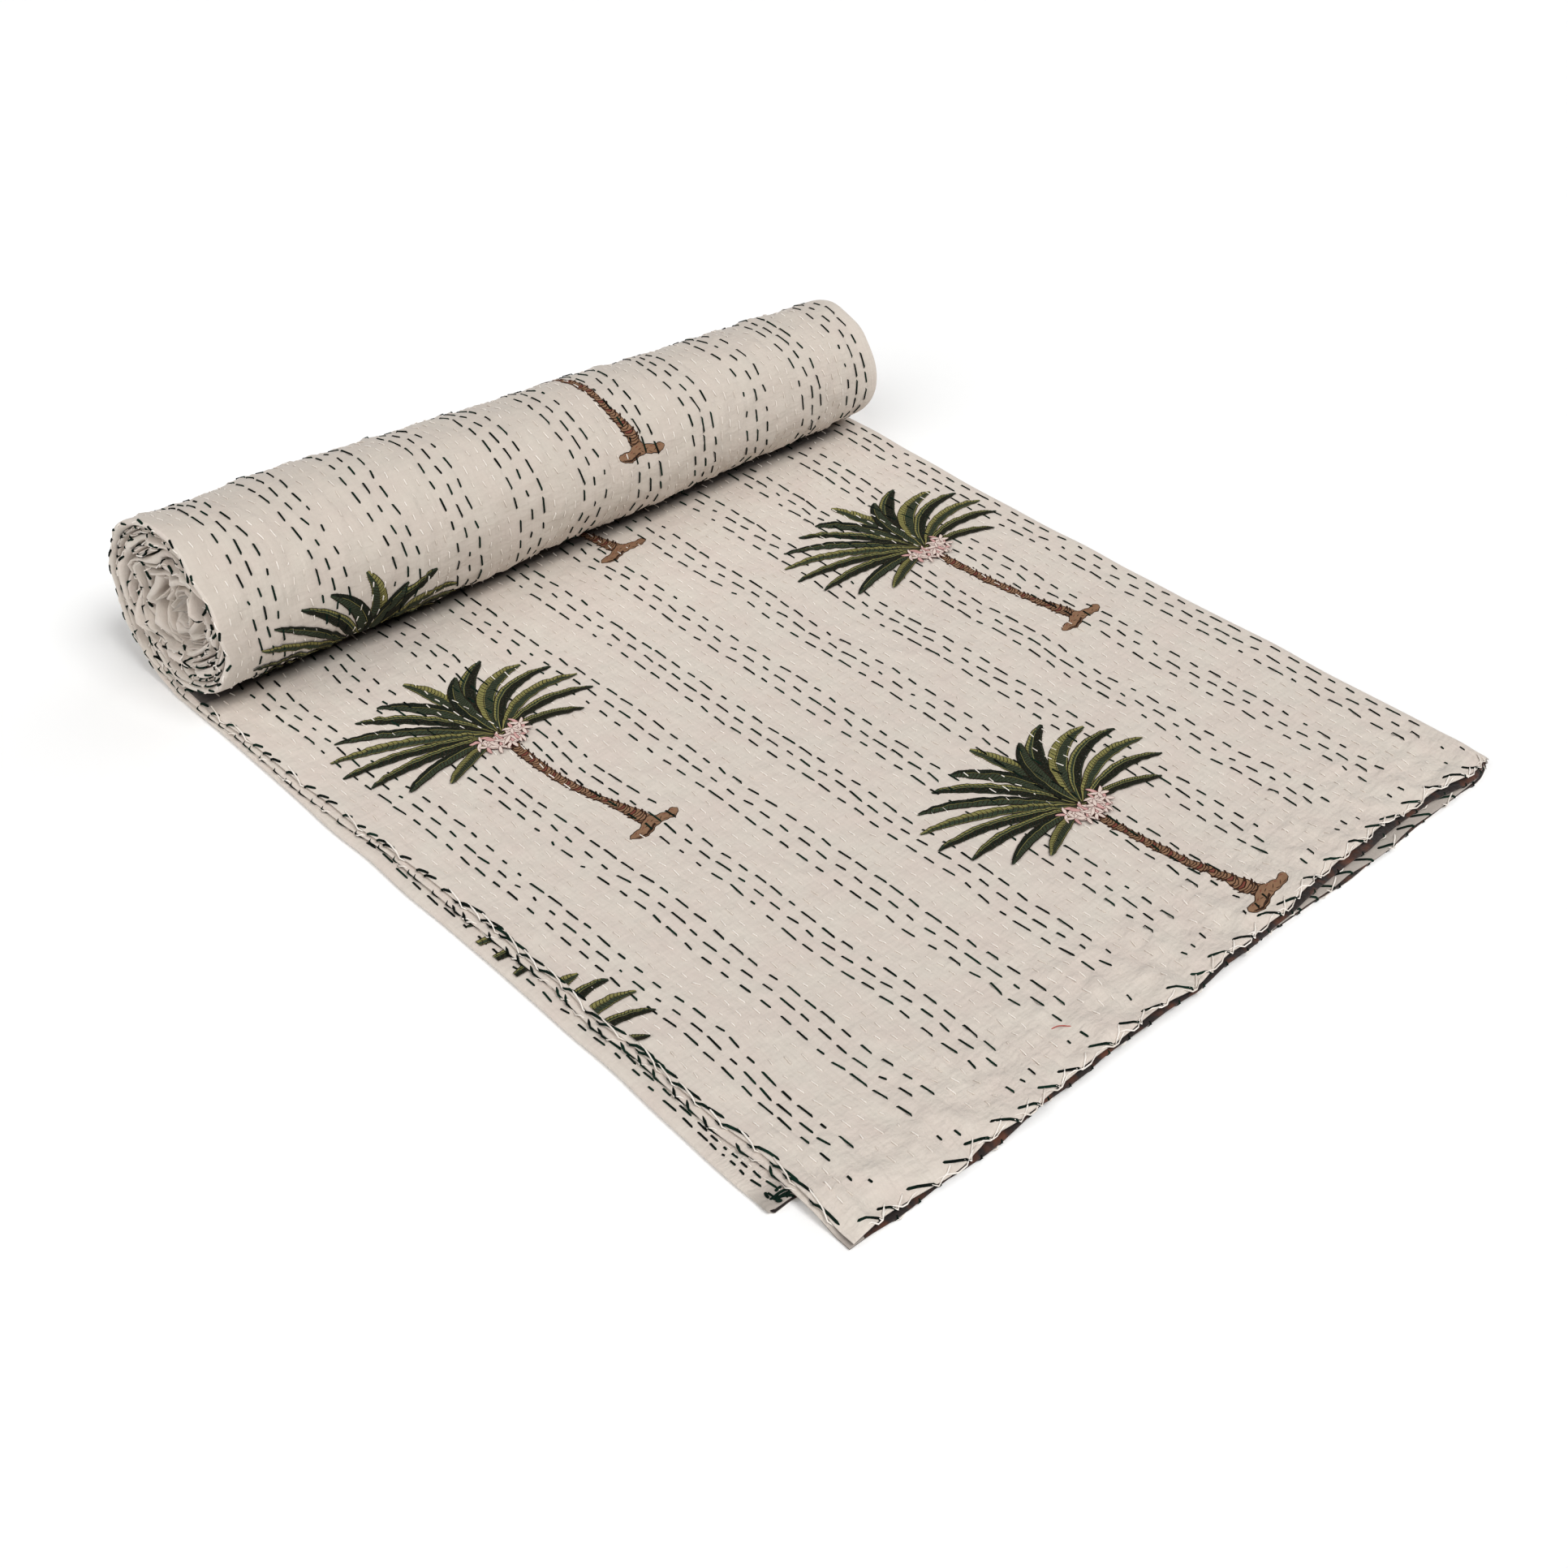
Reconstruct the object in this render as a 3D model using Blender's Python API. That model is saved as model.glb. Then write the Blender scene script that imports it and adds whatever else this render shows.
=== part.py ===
"""Kantha quilt, folded in four along its length and rolled up from its far end.

One sheet of cloth is the whole quilt. Seen from the near hem, its section runs from the top hem at
the left to the wide fold at the right, back along the bottom to the left fold, right again to the
tight fold, and left to the second hem: four layers, a little apart. That section is lofted along the
quilt: first flat on the ground, then up behind, over and down in front, in turns that lie on top of
the flat stretch.

Frame: metres, +Z up, +Y from the near hem to the roll, +X from the hems to the wide fold. The origin
is under the middle of the quilt's box.
"""

import math
from collections import namedtuple

import bmesh
import bpy

# The cloth: 2.286 m by 1.524 m when open, folded to a quarter of its width.
SHEET = 0.0017
OPEN_WIDTH = 2.286
FOLDED_WIDTH = OPEN_WIDTH / 4
LAYERS = 4

# Depth of each fold's rounded end, measured along X to the middle of the cloth.
WIDE_FOLD_DEPTH = 0.0050
TIGHT_FOLD_DEPTH = 0.0022
LEFT_FOLD_DEPTH = 0.0022
TIGHT_FOLD_CLEARANCE = 0.0026  # between the tight fold's end and the wide fold round it

# The flat stretch, as fractions of its length, from the near hem to under the roll's axis.
FLAT_STATIONS = (0.0, 0.021, 0.055, 0.10, 0.17, 0.30, 0.47, 0.64, 0.80, 0.92)
NEAR_REACH = 0.12  # how far in from the near hem its unevenness dies out
DROOP_SETBACK = 0.015
DROOP_LENGTH = 0.020

# The roll.
TURNS = 4.8
STEPS_A_TURN = 15
SAG = 0.04  # share of the height that the roll's weight takes
SPREAD = 0.02  # share of the width that it gains in return

# Where the layers are read across the quilt, and how many steps round each fold.
ACROSS = (0.14, 0.29, 0.44)
WIDE_FOLD_STEPS = 6
SMALL_FOLD_STEPS = 4

# The box that the quilt fills, whose middle is the frame's origin.
LEFT_REACH = -0.0150
RIGHT_REACH = 0.5755
NEAR_REACH_Y = -0.0040
BACK_REACH_Y = 0.6627

CLOTH_COLOUR = (0.665, 0.612, 0.545, 1.0)
CLOTH_ROUGHNESS = 0.9

# Where the four edges lie in X, by the distance along the quilt.
Edges = namedtuple("Edges", "along top_hem second_hem left_fold wide_fold")
FLAT_EDGES = (
    Edges(along=0.000, top_hem=0.0000, second_hem=-0.002, left_fold=-0.015, wide_fold=0.5755),
    Edges(along=0.040, top_hem=0.0030, second_hem=0.000, left_fold=-0.015, wide_fold=0.5750),
    Edges(along=0.110, top_hem=0.0045, second_hem=0.001, left_fold=-0.013, wide_fold=0.5730),
    Edges(along=0.180, top_hem=0.0055, second_hem=0.002, left_fold=-0.009, wide_fold=0.5720),
    Edges(along=0.300, top_hem=0.0085, second_hem=0.005, left_fold=-0.006, wide_fold=0.5695),
    Edges(along=0.420, top_hem=0.0040, second_hem=0.001, left_fold=-0.004, wide_fold=0.5675),
    Edges(along=0.520, top_hem=0.0025, second_hem=0.000, left_fold=-0.001, wide_fold=0.5695),
    Edges(along=0.590, top_hem=0.0020, second_hem=0.000, left_fold=0.000, wide_fold=0.5700),
)

# The same edges on the roll, by the number of turns made.
RollEdges = namedtuple("RollEdges", "turns top_hem second_hem left_fold wide_fold")
ROLL_EDGES = (
    RollEdges(turns=0.00, top_hem=0.0020, second_hem=0.000, left_fold=0.000, wide_fold=0.5700),
    RollEdges(turns=0.25, top_hem=0.0060, second_hem=0.003, left_fold=0.001, wide_fold=0.5690),
    RollEdges(turns=0.55, top_hem=0.0050, second_hem=0.006, left_fold=0.000, wide_fold=0.5665),
    RollEdges(turns=0.90, top_hem=0.0040, second_hem=0.002, left_fold=0.003, wide_fold=0.5640),
    RollEdges(turns=1.30, top_hem=0.0090, second_hem=0.005, left_fold=0.001, wide_fold=0.5655),
    RollEdges(turns=1.70, top_hem=0.0050, second_hem=0.009, left_fold=0.006, wide_fold=0.5680),
    RollEdges(turns=2.10, top_hem=0.0080, second_hem=0.004, left_fold=0.003, wide_fold=0.5640),
    RollEdges(turns=2.70, top_hem=0.0140, second_hem=0.010, left_fold=0.009, wide_fold=0.5610),
    RollEdges(turns=3.40, top_hem=0.0100, second_hem=0.015, left_fold=0.006, wide_fold=0.5650),
    RollEdges(turns=4.10, top_hem=0.0170, second_hem=0.012, left_fold=0.013, wide_fold=0.5620),
    RollEdges(turns=4.80, top_hem=0.0130, second_hem=0.018, left_fold=0.010, wide_fold=0.5640),
)

# How far back the near hem of each pair of layers lies, across the quilt.
NearHem = namedtuple("NearHem", "across upper lower")
NEAR_HEM = (
    NearHem(across=0.00, upper=0.000, lower=0.042),
    NearHem(across=0.07, upper=-0.003, lower=0.030),
    NearHem(across=0.14, upper=-0.003, lower=0.016),
    NearHem(across=0.29, upper=-0.004, lower=0.002),
    NearHem(across=0.44, upper=0.004, lower=-0.004),
    NearHem(across=0.58, upper=-0.003, lower=-0.003),
)

# The pack of four layers across the quilt: its thickness where it lies flat and in the roll, the
# roll's radius to the face that lies on the ground, and where the roll's axis crosses in Y.
Pack = namedtuple("Pack", "across flat rolled pitch radius axis")
PACK = (
    Pack(across=0.00, flat=0.0098, rolled=0.0107, pitch=0.0120, radius=0.0692, axis=0.5960),
    Pack(across=0.14, flat=0.0094, rolled=0.0099, pitch=0.0110, radius=0.0652, axis=0.5906),
    Pack(across=0.29, flat=0.0092, rolled=0.0091, pitch=0.0101, radius=0.0606, axis=0.5848),
    Pack(across=0.44, flat=0.0094, rolled=0.0084, pitch=0.0091, radius=0.0558, axis=0.5790),
    Pack(across=0.58, flat=0.0098, rolled=0.0079, pitch=0.0083, radius=0.0512, axis=0.5736),
)

# A place in the section: its distance across, the height of the cloth's middle as a share from the
# bottom layer (0) to the top one (1), and the cloth's own normal there.
Place = namedtuple("Place", "x share normal_x normal_up upper")


def smooth(t):
    """0 below 0, 1 above 1, and a soft step between."""
    t = min(max(t, 0.0), 1.0)
    return t * t * (3.0 - 2.0 * t)


def read(rows, at):
    """The row of a table at a place between its rows, by straight lines."""
    first = rows[0]
    if at <= first[0]:
        return first
    for low, high in zip(rows, rows[1:]):
        if at <= high[0]:
            t = (at - low[0]) / (high[0] - low[0])
            return type(first)(*(a + t * (b - a) for a, b in zip(low, high)))
    return rows[-1]


def layer_share(layer):
    """Layer 0 is the bottom one and layer 3 the top one."""
    return layer / (LAYERS - 1)


def run(x_from, x_to, layer, upper):
    """One layer, left to right or right to left. Its outer face is on the left of its travel."""
    inner = [x for x in ACROSS if min(x_from, x_to) < x < max(x_from, x_to)]
    if x_from > x_to:
        inner.reverse()
    facing = 1.0 if x_to > x_from else -1.0
    share = layer_share(layer)
    return [Place(x, share, 0.0, facing, upper) for x in [x_from, *inner, x_to]]


def fold(x_middle, depth, low, high, side, steps, down):
    """The rounded end between two layers, without its two end points."""
    places = []
    for step in range(1, steps):
        angle = math.pi * (0.5 - step / steps) if down else math.pi * (step / steps - 0.5)
        middle = (layer_share(low) + layer_share(high)) / 2
        half = (layer_share(high) - layer_share(low)) / 2
        x = x_middle + side * depth * math.cos(angle)
        share = middle + half * math.sin(angle)
        outward = 1.0 if side > 0 and down or side < 0 and not down else -1.0
        normal_x = side * math.cos(angle) * outward
        normal_up = math.sin(angle) * outward
        upper = share > 0.5
        places.append(Place(x, share, normal_x, normal_up, upper))
    return places


def section(edges):
    """The whole width of the cloth, from the top hem to the second hem, in four runs and three folds."""
    half = SHEET / 2
    wide_middle = edges.wide_fold - half - WIDE_FOLD_DEPTH
    tight_middle = edges.wide_fold - SHEET - TIGHT_FOLD_CLEARANCE - half - TIGHT_FOLD_DEPTH
    left_middle = edges.left_fold + half + LEFT_FOLD_DEPTH
    return (
        run(edges.top_hem, wide_middle, 3, True)
        + fold(wide_middle, WIDE_FOLD_DEPTH, 0, 3, 1, WIDE_FOLD_STEPS, True)
        + run(wide_middle, left_middle, 0, False)
        + fold(left_middle, LEFT_FOLD_DEPTH, 0, 1, -1, SMALL_FOLD_STEPS, False)
        + run(left_middle, tight_middle, 1, False)
        + fold(tight_middle, TIGHT_FOLD_DEPTH, 1, 2, 1, SMALL_FOLD_STEPS, False)
        + run(tight_middle, edges.second_hem, 2, True)
    )


def faces_of_sheet(place, thickness):
    """The (x, height) of the cloth's two faces at a place in a pack of this thickness."""
    half = SHEET / 2
    height = half + place.share * (thickness - SHEET)
    return [
        (place.x + side * half * place.normal_x, height + side * half * place.normal_up)
        for side in (1.0, -1.0)
    ]


def flat_point(x, height, along, upper):
    """A point of the flat stretch, with the near hem's set-back and the corner that droops past it."""
    hem = read(NEAR_HEM, x)
    fade = 1.0 - smooth(along / NEAR_REACH)
    y = along + (hem.upper if upper else hem.lower) * fade
    if upper:
        droop = smooth((hem.lower - DROOP_SETBACK - y) / DROOP_LENGTH)
        height -= droop * read(PACK, x).flat / 2
    return x, y, height


def roll_point(x, height, turns):
    """A point of the roll: its radius shrinks by one pitch a turn, and its own weight flattens it."""
    pack = read(PACK, x)
    angle = 2.0 * math.pi * turns
    radius = pack.radius - pack.pitch * turns - height
    out = radius * math.sin(angle)
    up = pack.radius - radius * math.cos(angle)
    rise = up - pack.rolled
    if rise > 0.0:
        up -= SAG * rise
        out *= 1.0 + SPREAD * smooth(rise / pack.radius)
    return x, pack.axis + out, up


def flat_ring(fraction):
    """Both faces of the section at a fraction of the flat stretch."""
    middle = read(PACK, FOLDED_WIDTH / 2)
    places = section(read(FLAT_EDGES, fraction * middle.axis))
    ring = []
    for place in places:
        pack = read(PACK, place.x)
        thickness = pack.flat + (pack.rolled - pack.flat) * smooth(fraction)
        ring.append(
            [
                flat_point(x, height, fraction * pack.axis, place.upper)
                for x, height in faces_of_sheet(place, thickness)
            ]
        )
    return ring


def roll_ring(turns):
    """Both faces of the section after a number of turns."""
    ring = []
    for place in section(read(ROLL_EDGES, turns)):
        thickness = read(PACK, place.x).rolled
        ring.append(
            [roll_point(x, height, turns) for x, height in faces_of_sheet(place, thickness)]
        )
    return ring


def add_patch(shape, near_a, near_b, far_a, far_b):
    """Two triangles, split the same way in X on every layer, so that neighbours stay parallel."""
    if near_a.co.x > near_b.co.x:
        near_a, near_b, far_a, far_b = near_b, near_a, far_b, far_a
    shape.faces.new((near_a, near_b, far_a))
    shape.faces.new((near_b, far_b, far_a))


def loft(rings):
    """A closed mesh: the cloth's two faces, its two hems and its near and far ends."""
    middle_x = (LEFT_REACH + RIGHT_REACH) / 2
    middle_y = (NEAR_REACH_Y + BACK_REACH_Y) / 2
    shape = bmesh.new()
    grid = [
        [
            [shape.verts.new((x - middle_x, y - middle_y, z)) for x, y, z in pair]
            for pair in ring
        ]
        for ring in rings
    ]
    for near, far in zip(grid, grid[1:]):
        for a, b in zip(range(len(near)), range(1, len(near))):
            for face in (0, 1):
                add_patch(shape, near[a][face], near[b][face], far[a][face], far[b][face])
        for end in (0, -1):
            add_patch(shape, *near[end], *far[end])
    for ring in (grid[0], grid[-1]):
        for a, b in zip(ring, ring[1:]):
            add_patch(shape, *a, *b)
    bmesh.ops.recalc_face_normals(shape, faces=shape.faces)
    mesh = bpy.data.meshes.new("quilt")
    shape.to_mesh(mesh)
    shape.free()
    return mesh


def cloth_material():
    material = bpy.data.materials.new("quilted_cotton")
    material.use_nodes = True
    shader = material.node_tree.nodes["Principled BSDF"]
    shader.inputs["Base Color"].default_value = CLOTH_COLOUR
    shader.inputs["Roughness"].default_value = CLOTH_ROUGHNESS
    return material


def build_quilt(collection):
    steps = round(TURNS * STEPS_A_TURN)
    rings = [flat_ring(fraction) for fraction in FLAT_STATIONS]
    rings += [roll_ring(step / STEPS_A_TURN) for step in range(steps + 1)]
    quilt = bpy.data.objects.new("quilt", loft(rings))
    quilt.data.materials.append(cloth_material())
    quilt.data.shade_smooth()
    quilt.data.set_sharp_from_angle(angle=math.radians(40))
    collection.objects.link(quilt)
    return quilt


def main():
    for old in list(bpy.data.objects):
        bpy.data.objects.remove(old)
    collection = bpy.data.collections.new("kantha_quilt")
    bpy.context.scene.collection.children.link(collection)
    build_quilt(collection)


main()
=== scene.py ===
"""Looks of a kantha quilt, folded in four along its length and rolled up from its far end.

The cloth is one closed sheet on the folds and turns of its solid, with stitched valleys, puckers,
ripples and creases. The stitches lie on it as thread, and the palms are printed on its outer side.

Cloth coordinates: a place on the quilt is a layer, a nominal distance x across it, and a row w, which
is 0 at the near hem, 1 under the roll's axis and 1 + the number of turns in the roll.
"""

import math
from collections import namedtuple
from itertools import product

import bmesh
import bpy
import numpy as np
from mathutils import Matrix, Vector


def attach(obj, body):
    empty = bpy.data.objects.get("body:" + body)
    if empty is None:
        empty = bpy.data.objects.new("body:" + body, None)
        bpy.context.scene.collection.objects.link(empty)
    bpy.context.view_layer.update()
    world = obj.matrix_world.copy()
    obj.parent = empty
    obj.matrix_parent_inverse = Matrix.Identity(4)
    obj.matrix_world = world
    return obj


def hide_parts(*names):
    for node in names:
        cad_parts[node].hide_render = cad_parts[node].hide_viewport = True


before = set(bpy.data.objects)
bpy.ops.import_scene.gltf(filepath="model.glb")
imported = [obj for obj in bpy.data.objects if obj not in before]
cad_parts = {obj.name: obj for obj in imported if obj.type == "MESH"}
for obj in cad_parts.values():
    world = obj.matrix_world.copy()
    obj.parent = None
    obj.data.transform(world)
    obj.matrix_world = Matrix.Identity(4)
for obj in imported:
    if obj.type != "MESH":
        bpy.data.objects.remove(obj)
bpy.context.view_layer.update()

# ---------------------------------------------------------------- the solid's sizes, repeated here
SHEET = 0.0017
LAYERS = 4
WIDE_FOLD_DEPTH = 0.0050
TIGHT_FOLD_DEPTH = 0.0022
LEFT_FOLD_DEPTH = 0.0022
TIGHT_FOLD_CLEARANCE = 0.0026
NEAR_REACH = 0.12
DROOP_SETBACK = 0.015
DROOP_LENGTH = 0.020
TURNS = 4.8
SAG = 0.04
SPREAD = 0.02
MIDDLE_X = (-0.0150 + 0.5755) / 2
MIDDLE_Y = (-0.0040 + 0.6627) / 2

Edges = namedtuple("Edges", "along top_hem second_hem left_fold wide_fold")
FLAT_EDGES = (
    Edges(0.000, 0.0000, -0.002, -0.015, 0.5755),
    Edges(0.040, 0.0030, 0.000, -0.015, 0.5750),
    Edges(0.110, 0.0045, 0.001, -0.013, 0.5730),
    Edges(0.180, 0.0055, 0.002, -0.009, 0.5720),
    Edges(0.300, 0.0085, 0.005, -0.006, 0.5695),
    Edges(0.420, 0.0040, 0.001, -0.004, 0.5675),
    Edges(0.520, 0.0025, 0.000, -0.001, 0.5695),
    Edges(0.590, 0.0020, 0.000, 0.000, 0.5700),
)
RollEdges = namedtuple("RollEdges", "turns top_hem second_hem left_fold wide_fold")
ROLL_EDGES = (
    RollEdges(0.00, 0.0020, 0.000, 0.000, 0.5700),
    RollEdges(0.25, 0.0060, 0.003, 0.001, 0.5690),
    RollEdges(0.55, 0.0050, 0.006, 0.000, 0.5665),
    RollEdges(0.90, 0.0040, 0.002, 0.003, 0.5640),
    RollEdges(1.30, 0.0090, 0.005, 0.001, 0.5655),
    RollEdges(1.70, 0.0050, 0.009, 0.006, 0.5680),
    RollEdges(2.10, 0.0080, 0.004, 0.003, 0.5640),
    RollEdges(2.70, 0.0140, 0.010, 0.009, 0.5610),
    RollEdges(3.40, 0.0100, 0.015, 0.006, 0.5650),
    RollEdges(4.10, 0.0170, 0.012, 0.013, 0.5620),
    RollEdges(4.80, 0.0130, 0.018, 0.010, 0.5640),
)
Pack = namedtuple("Pack", "across flat rolled pitch radius axis")
PACK = (
    Pack(0.00, 0.0098, 0.0107, 0.0120, 0.0692, 0.5960),
    Pack(0.14, 0.0094, 0.0099, 0.0110, 0.0652, 0.5906),
    Pack(0.29, 0.0092, 0.0091, 0.0101, 0.0606, 0.5848),
    Pack(0.44, 0.0094, 0.0084, 0.0091, 0.0558, 0.5790),
    Pack(0.58, 0.0098, 0.0079, 0.0083, 0.0512, 0.5736),
)
# How far back the near hems lie: the upper pair's, the lower pair's, how much further back the second
# layer's hem is than the top one's, and how far the upper pair stands off the lower one there.
NearHem = namedtuple("NearHem", "across upper lower second gap")
NEAR_HEM = (
    NearHem(0.00, 0.000, 0.042, -0.0006, 0.0004),
    NearHem(0.07, -0.002, 0.030, -0.0014, 0.0005),
    NearHem(0.14, -0.002, 0.016, -0.0012, 0.0006),
    NearHem(0.21, -0.002, 0.009, -0.0016, 0.0008),
    NearHem(0.29, -0.002, 0.003, -0.0018, 0.0008),
    NearHem(0.36, 0.001, -0.002, -0.0030, 0.0010),
    NearHem(0.44, 0.006, -0.004, -0.0034, 0.0011),
    NearHem(0.52, 0.003, -0.0035, -0.0028, 0.0008),
    NearHem(0.558, -0.001, -0.003, -0.0014, 0.0006),
    NearHem(0.580, 0.004, 0.003, -0.0006, 0.0001),
)
GAP_REACH = 0.045

# ---------------------------------------------------------------- the fine sheet
RUN = 0.5650  # nominal length of a layer, from its left end to the wide fold
EDGE_FADE = 0.06  # how far in from its ends a layer follows their unevenness
ROW_STEP = 0.0042
CORE_ROW_STEP = 0.0052
LEAST_RADIUS = 0.011  # of the roll's heart, where rows are spaced by angle
LEAST_LAST_ROW = 0.02  # in turns
LAST_TURN_LENGTH = 0.075
OUTER_TURNS = 1.08  # the turns whose outer side shows
HEM_END = 0.0090  # where the sheet has its usual thickness again
# How thick the turned-in hem is, as a share of the sheet, by the distance from its edge.
HEM_COLUMNS = (0.0, 0.0006, 0.0016, 0.0045, HEM_END)
HEM_THICKNESS = (0.30, 0.78, 1.15, 1.35, 1.0)

HEM_WANDER = 0.0008
SWELL_HEIGHT = 0.0005
NEAR_LIFT = 0.0009  # of the near hem
LEFT_LIFT = 0.0006  # of the left hem
DENT_DEPTH = 0.0006
CRUSH = 0.0030  # how far the heart of the roll is pushed about at the open hems
SLIDE = 0.0022  # how far its turns slip out of line there
DRIFT = 0.010  # of the stitch lines, at the near left corner
DRIFT_REACH = 0.22
DRIFT_X = 0.03
DRIFT_WIDTH = 0.035

# ---------------------------------------------------------------- stitching
BAND_PITCH = 0.0515
FIRST_BAND_FLAT = 0.0380
FIRST_BAND_ROLL = 0.0325
BANDS = 11
LINE_SPACING = 0.0094
CREAM_LINES = 3  # between two bands
FIRST_LINE = 0.006
LAST_LINE = RUN - 0.001
BESIDE_LINE = 0.0014  # the sheet's columns beside a stitch line
LEAST_COLUMN = 0.0004
VALLEY_WIDTH = 0.0019
GREEN_VALLEY = 0.00060
CREAM_VALLEY = 0.00045
DEEPEST = 0.00085  # no dip in the cloth is deeper

# The heights of the cloth's relief between the stitches.
PUFF_HEIGHT = 0.00026
WIDE_PUFF_HEIGHT = 0.00046
DRAG_HEIGHT = 0.00022
RIPPLE_HEIGHT = 0.00100
NEAR_SWELL = 0.00040  # the near hem is raised by this much

Stitch = namedtuple("Stitch", "pitch length spread half_width half_height")
GREEN_STITCH = Stitch(0.0150, 0.0088, 0.0021, 0.00068, 0.00034)
CREAM_STITCH = Stitch(0.0108, 0.0052, 0.0009, 0.00044, 0.00028)
GREEN_HEM_HALF = (0.00086, 0.00052)  # half the width and height of the hem's thread
CREAM_HEM_HALF = (0.00050, 0.00042)
PINK_HALF = (0.00030, 0.00026)

# ---------------------------------------------------------------- colours
CLOTH = "#D4CBC0"
CLOTH_WARM = "#D3C6BC"
CLOTH_SHADE = "#B9AFA3"
# Painted shade of the gap under the near hem: dark brown on the lower pair there, dark brown with rust
# patches on the reverse.
HEM_GAP_SHADE = "#211815"
HEM_GAP_SHADE_RUST = "#55301F"
CREASE_SHADE = "#2A231F"
GREEN_THREAD = "#070E0B"
GREEN_THREAD_LIT = "#0D271D"
CREAM_THREAD = "#F0E9E1"
CREAM_THREAD_LOW = "#DCD2C7"
PINK_THREAD = "#B0443A"
INKS = {
    "green": "#303A2B",
    "green_deep": "#141A12",
    "olive": "#807B49",
    "outline": "#24190F",
    "bark": "#87674F",
    "bark_dark": "#2F1D13",
    "rust": "#743F34",
    "petal": "#D9C8BE",
    "petal_line": "#6E4541",
    "petal_pink": "#C99D98",
}


def linear(code):
    """The linear RGBA of a colour that is written as #RRGGBB."""
    parts = [int(code[i : i + 2], 16) / 255 for i in (1, 3, 5)]
    return tuple(c / 12.92 if c <= 0.04045 else ((c + 0.055) / 1.055) ** 2.4 for c in parts) + (1.0,)


# ================================================================ the shape
def smooth(t):
    t = np.clip(t, 0.0, 1.0)
    return t * t * (3.0 - 2.0 * t)


def curve(rows, name, at):
    """A column of a table, read between its rows along a smooth curve."""
    places = np.array([row[0] for row in rows])
    values = np.array([getattr(row, name) for row in rows])
    slopes = np.gradient(values, places)
    low = np.clip(np.searchsorted(places, at) - 1, 0, len(places) - 2)
    span = places[low + 1] - places[low]
    t = np.clip((at - places[low]) / span, 0.0, 1.0)
    ease = smooth(t)
    even = values[low] * (1.0 - ease) + values[low + 1] * ease
    return even + span * slopes[low] * t * (1.0 - t) ** 2 - span * slopes[low + 1] * t * t * (1.0 - t)


def field(seed, wavelength, spread=0.4, waves=22, stretch=(1.0, 1.0, 1.0)):
    """Smooth unevenness about zero, of size 1, over two or three coordinates in metres."""
    draw = np.random.default_rng(seed)
    ways = draw.normal(size=(waves, 3))
    phases = draw.uniform(0.0, 2.0 * math.pi, waves)
    lengths = wavelength * draw.uniform(1.0 - spread, 1.0 + spread, waves)

    def value(*coordinates):
        total = 0.0
        for way, phase, length in zip(ways, phases, lengths):
            part = way[: len(coordinates)]
            part = part / np.linalg.norm(part) * (2.0 * math.pi / length)
            total = total + np.sin(sum(k * c / s for k, c, s in zip(part, coordinates, stretch)) + phase)
        return total * math.sqrt(2.0 / waves)

    return value


# Unevenness of many kinds: how the cloth swells, wanders, ripples and is crushed in the roll's heart.
SWELL = field(11, 0.16)
FLAT_WOBBLE = field(12, 0.13)
ROLL_WOBBLE = field(13, 0.12)
LINE_WOBBLE = field(14, 0.035, stretch=(0.35, 1.0))
HEM_WAVE = field(15, 0.060)
HEM_LIFT = field(16, 0.045)
DENT = field(17, 0.075)
PUFF = field(21, 0.0105, waves=36)
PUFF_WIDE = field(22, 0.026)
NEAR_RIPPLE = field(23, 0.013, stretch=(2.6, 0.8), waves=30)
DRAG = field(24, 0.009, stretch=(0.55, 3.2), waves=30)
CRUSH_Y = field(31, 0.034)
CRUSH_Z = field(32, 0.031)
END_WAVE = field(33, 0.040)

MIDDLE_ALONG = float(curve(PACK, "axis", 0.28575))


def arc_at(x, turns):
    """Length along the roll's outer side at x, from under its axis."""
    radius, pitch = curve(PACK, "radius", x), curve(PACK, "pitch", x)
    return 2.0 * math.pi * (radius * turns - pitch * turns * turns / 2)


def turns_at(x, arc):
    radius, pitch = curve(PACK, "radius", x), curve(PACK, "pitch", x)
    return (radius - np.sqrt(np.maximum(radius * radius - pitch * arc / math.pi, 1e-9))) / pitch


# How an edge wavers: its own place in the waves, and its share of their size on the flat and the roll.
EdgeWave = namedtuple("EdgeWave", "place flat rolled")
EDGE_WAVES = {
    "top_hem": EdgeWave(0.0, 1.0, 1.0),
    "second_hem": EdgeWave(0.7, 1.0, 1.0),
    "left_fold": EdgeWave(1.4, 0.4, 1.0),
    "wide_fold": EdgeWave(2.1, 0.55, 0.55),
}
FLAT_WAVE = 0.0007
ROLL_WAVE = 0.0009
CORE_WAVE = 0.0022  # more in the inner turns


def edges_at(name, w):
    """Where an edge of the quilt lies across it, by the row."""
    on_flat = curve(FLAT_EDGES, name, np.minimum(w, 1.0) * MIDDLE_ALONG)
    on_roll = curve(ROLL_EDGES, name, np.maximum(w - 1.0, 0.0))
    wave = EDGE_WAVES[name]
    rolled = ROLL_WAVE + CORE_WAVE * smooth((w - 2.0) / 0.8)
    size = np.where(w < 1.0, FLAT_WAVE * wave.flat, rolled * wave.rolled)
    return np.where(w <= 1.0, on_flat, on_roll) + size * HEM_WAVE(w * 0.5, 0.0 * w + wave.place)


def stitch_lines(first_band):
    """(x, colour) of each line of running stitch across a layer."""
    gap = (BAND_PITCH - 2 * LINE_SPACING) / (CREAM_LINES + 1)
    lines = [(first_band - LINE_SPACING - gap * (i + 1), "cream") for i in range(2)]
    band = first_band
    for number in range(BANDS):
        lines += [(band + LINE_SPACING * i, "green") for i in (-1, 0, 1)]
        if number < BANDS - 1:
            lines += [(band + LINE_SPACING + gap * (i + 1), "cream") for i in range(CREAM_LINES)]
        band += BAND_PITCH
    return sorted(line for line in lines if FIRST_LINE < line[0] < LAST_LINE)


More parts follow.
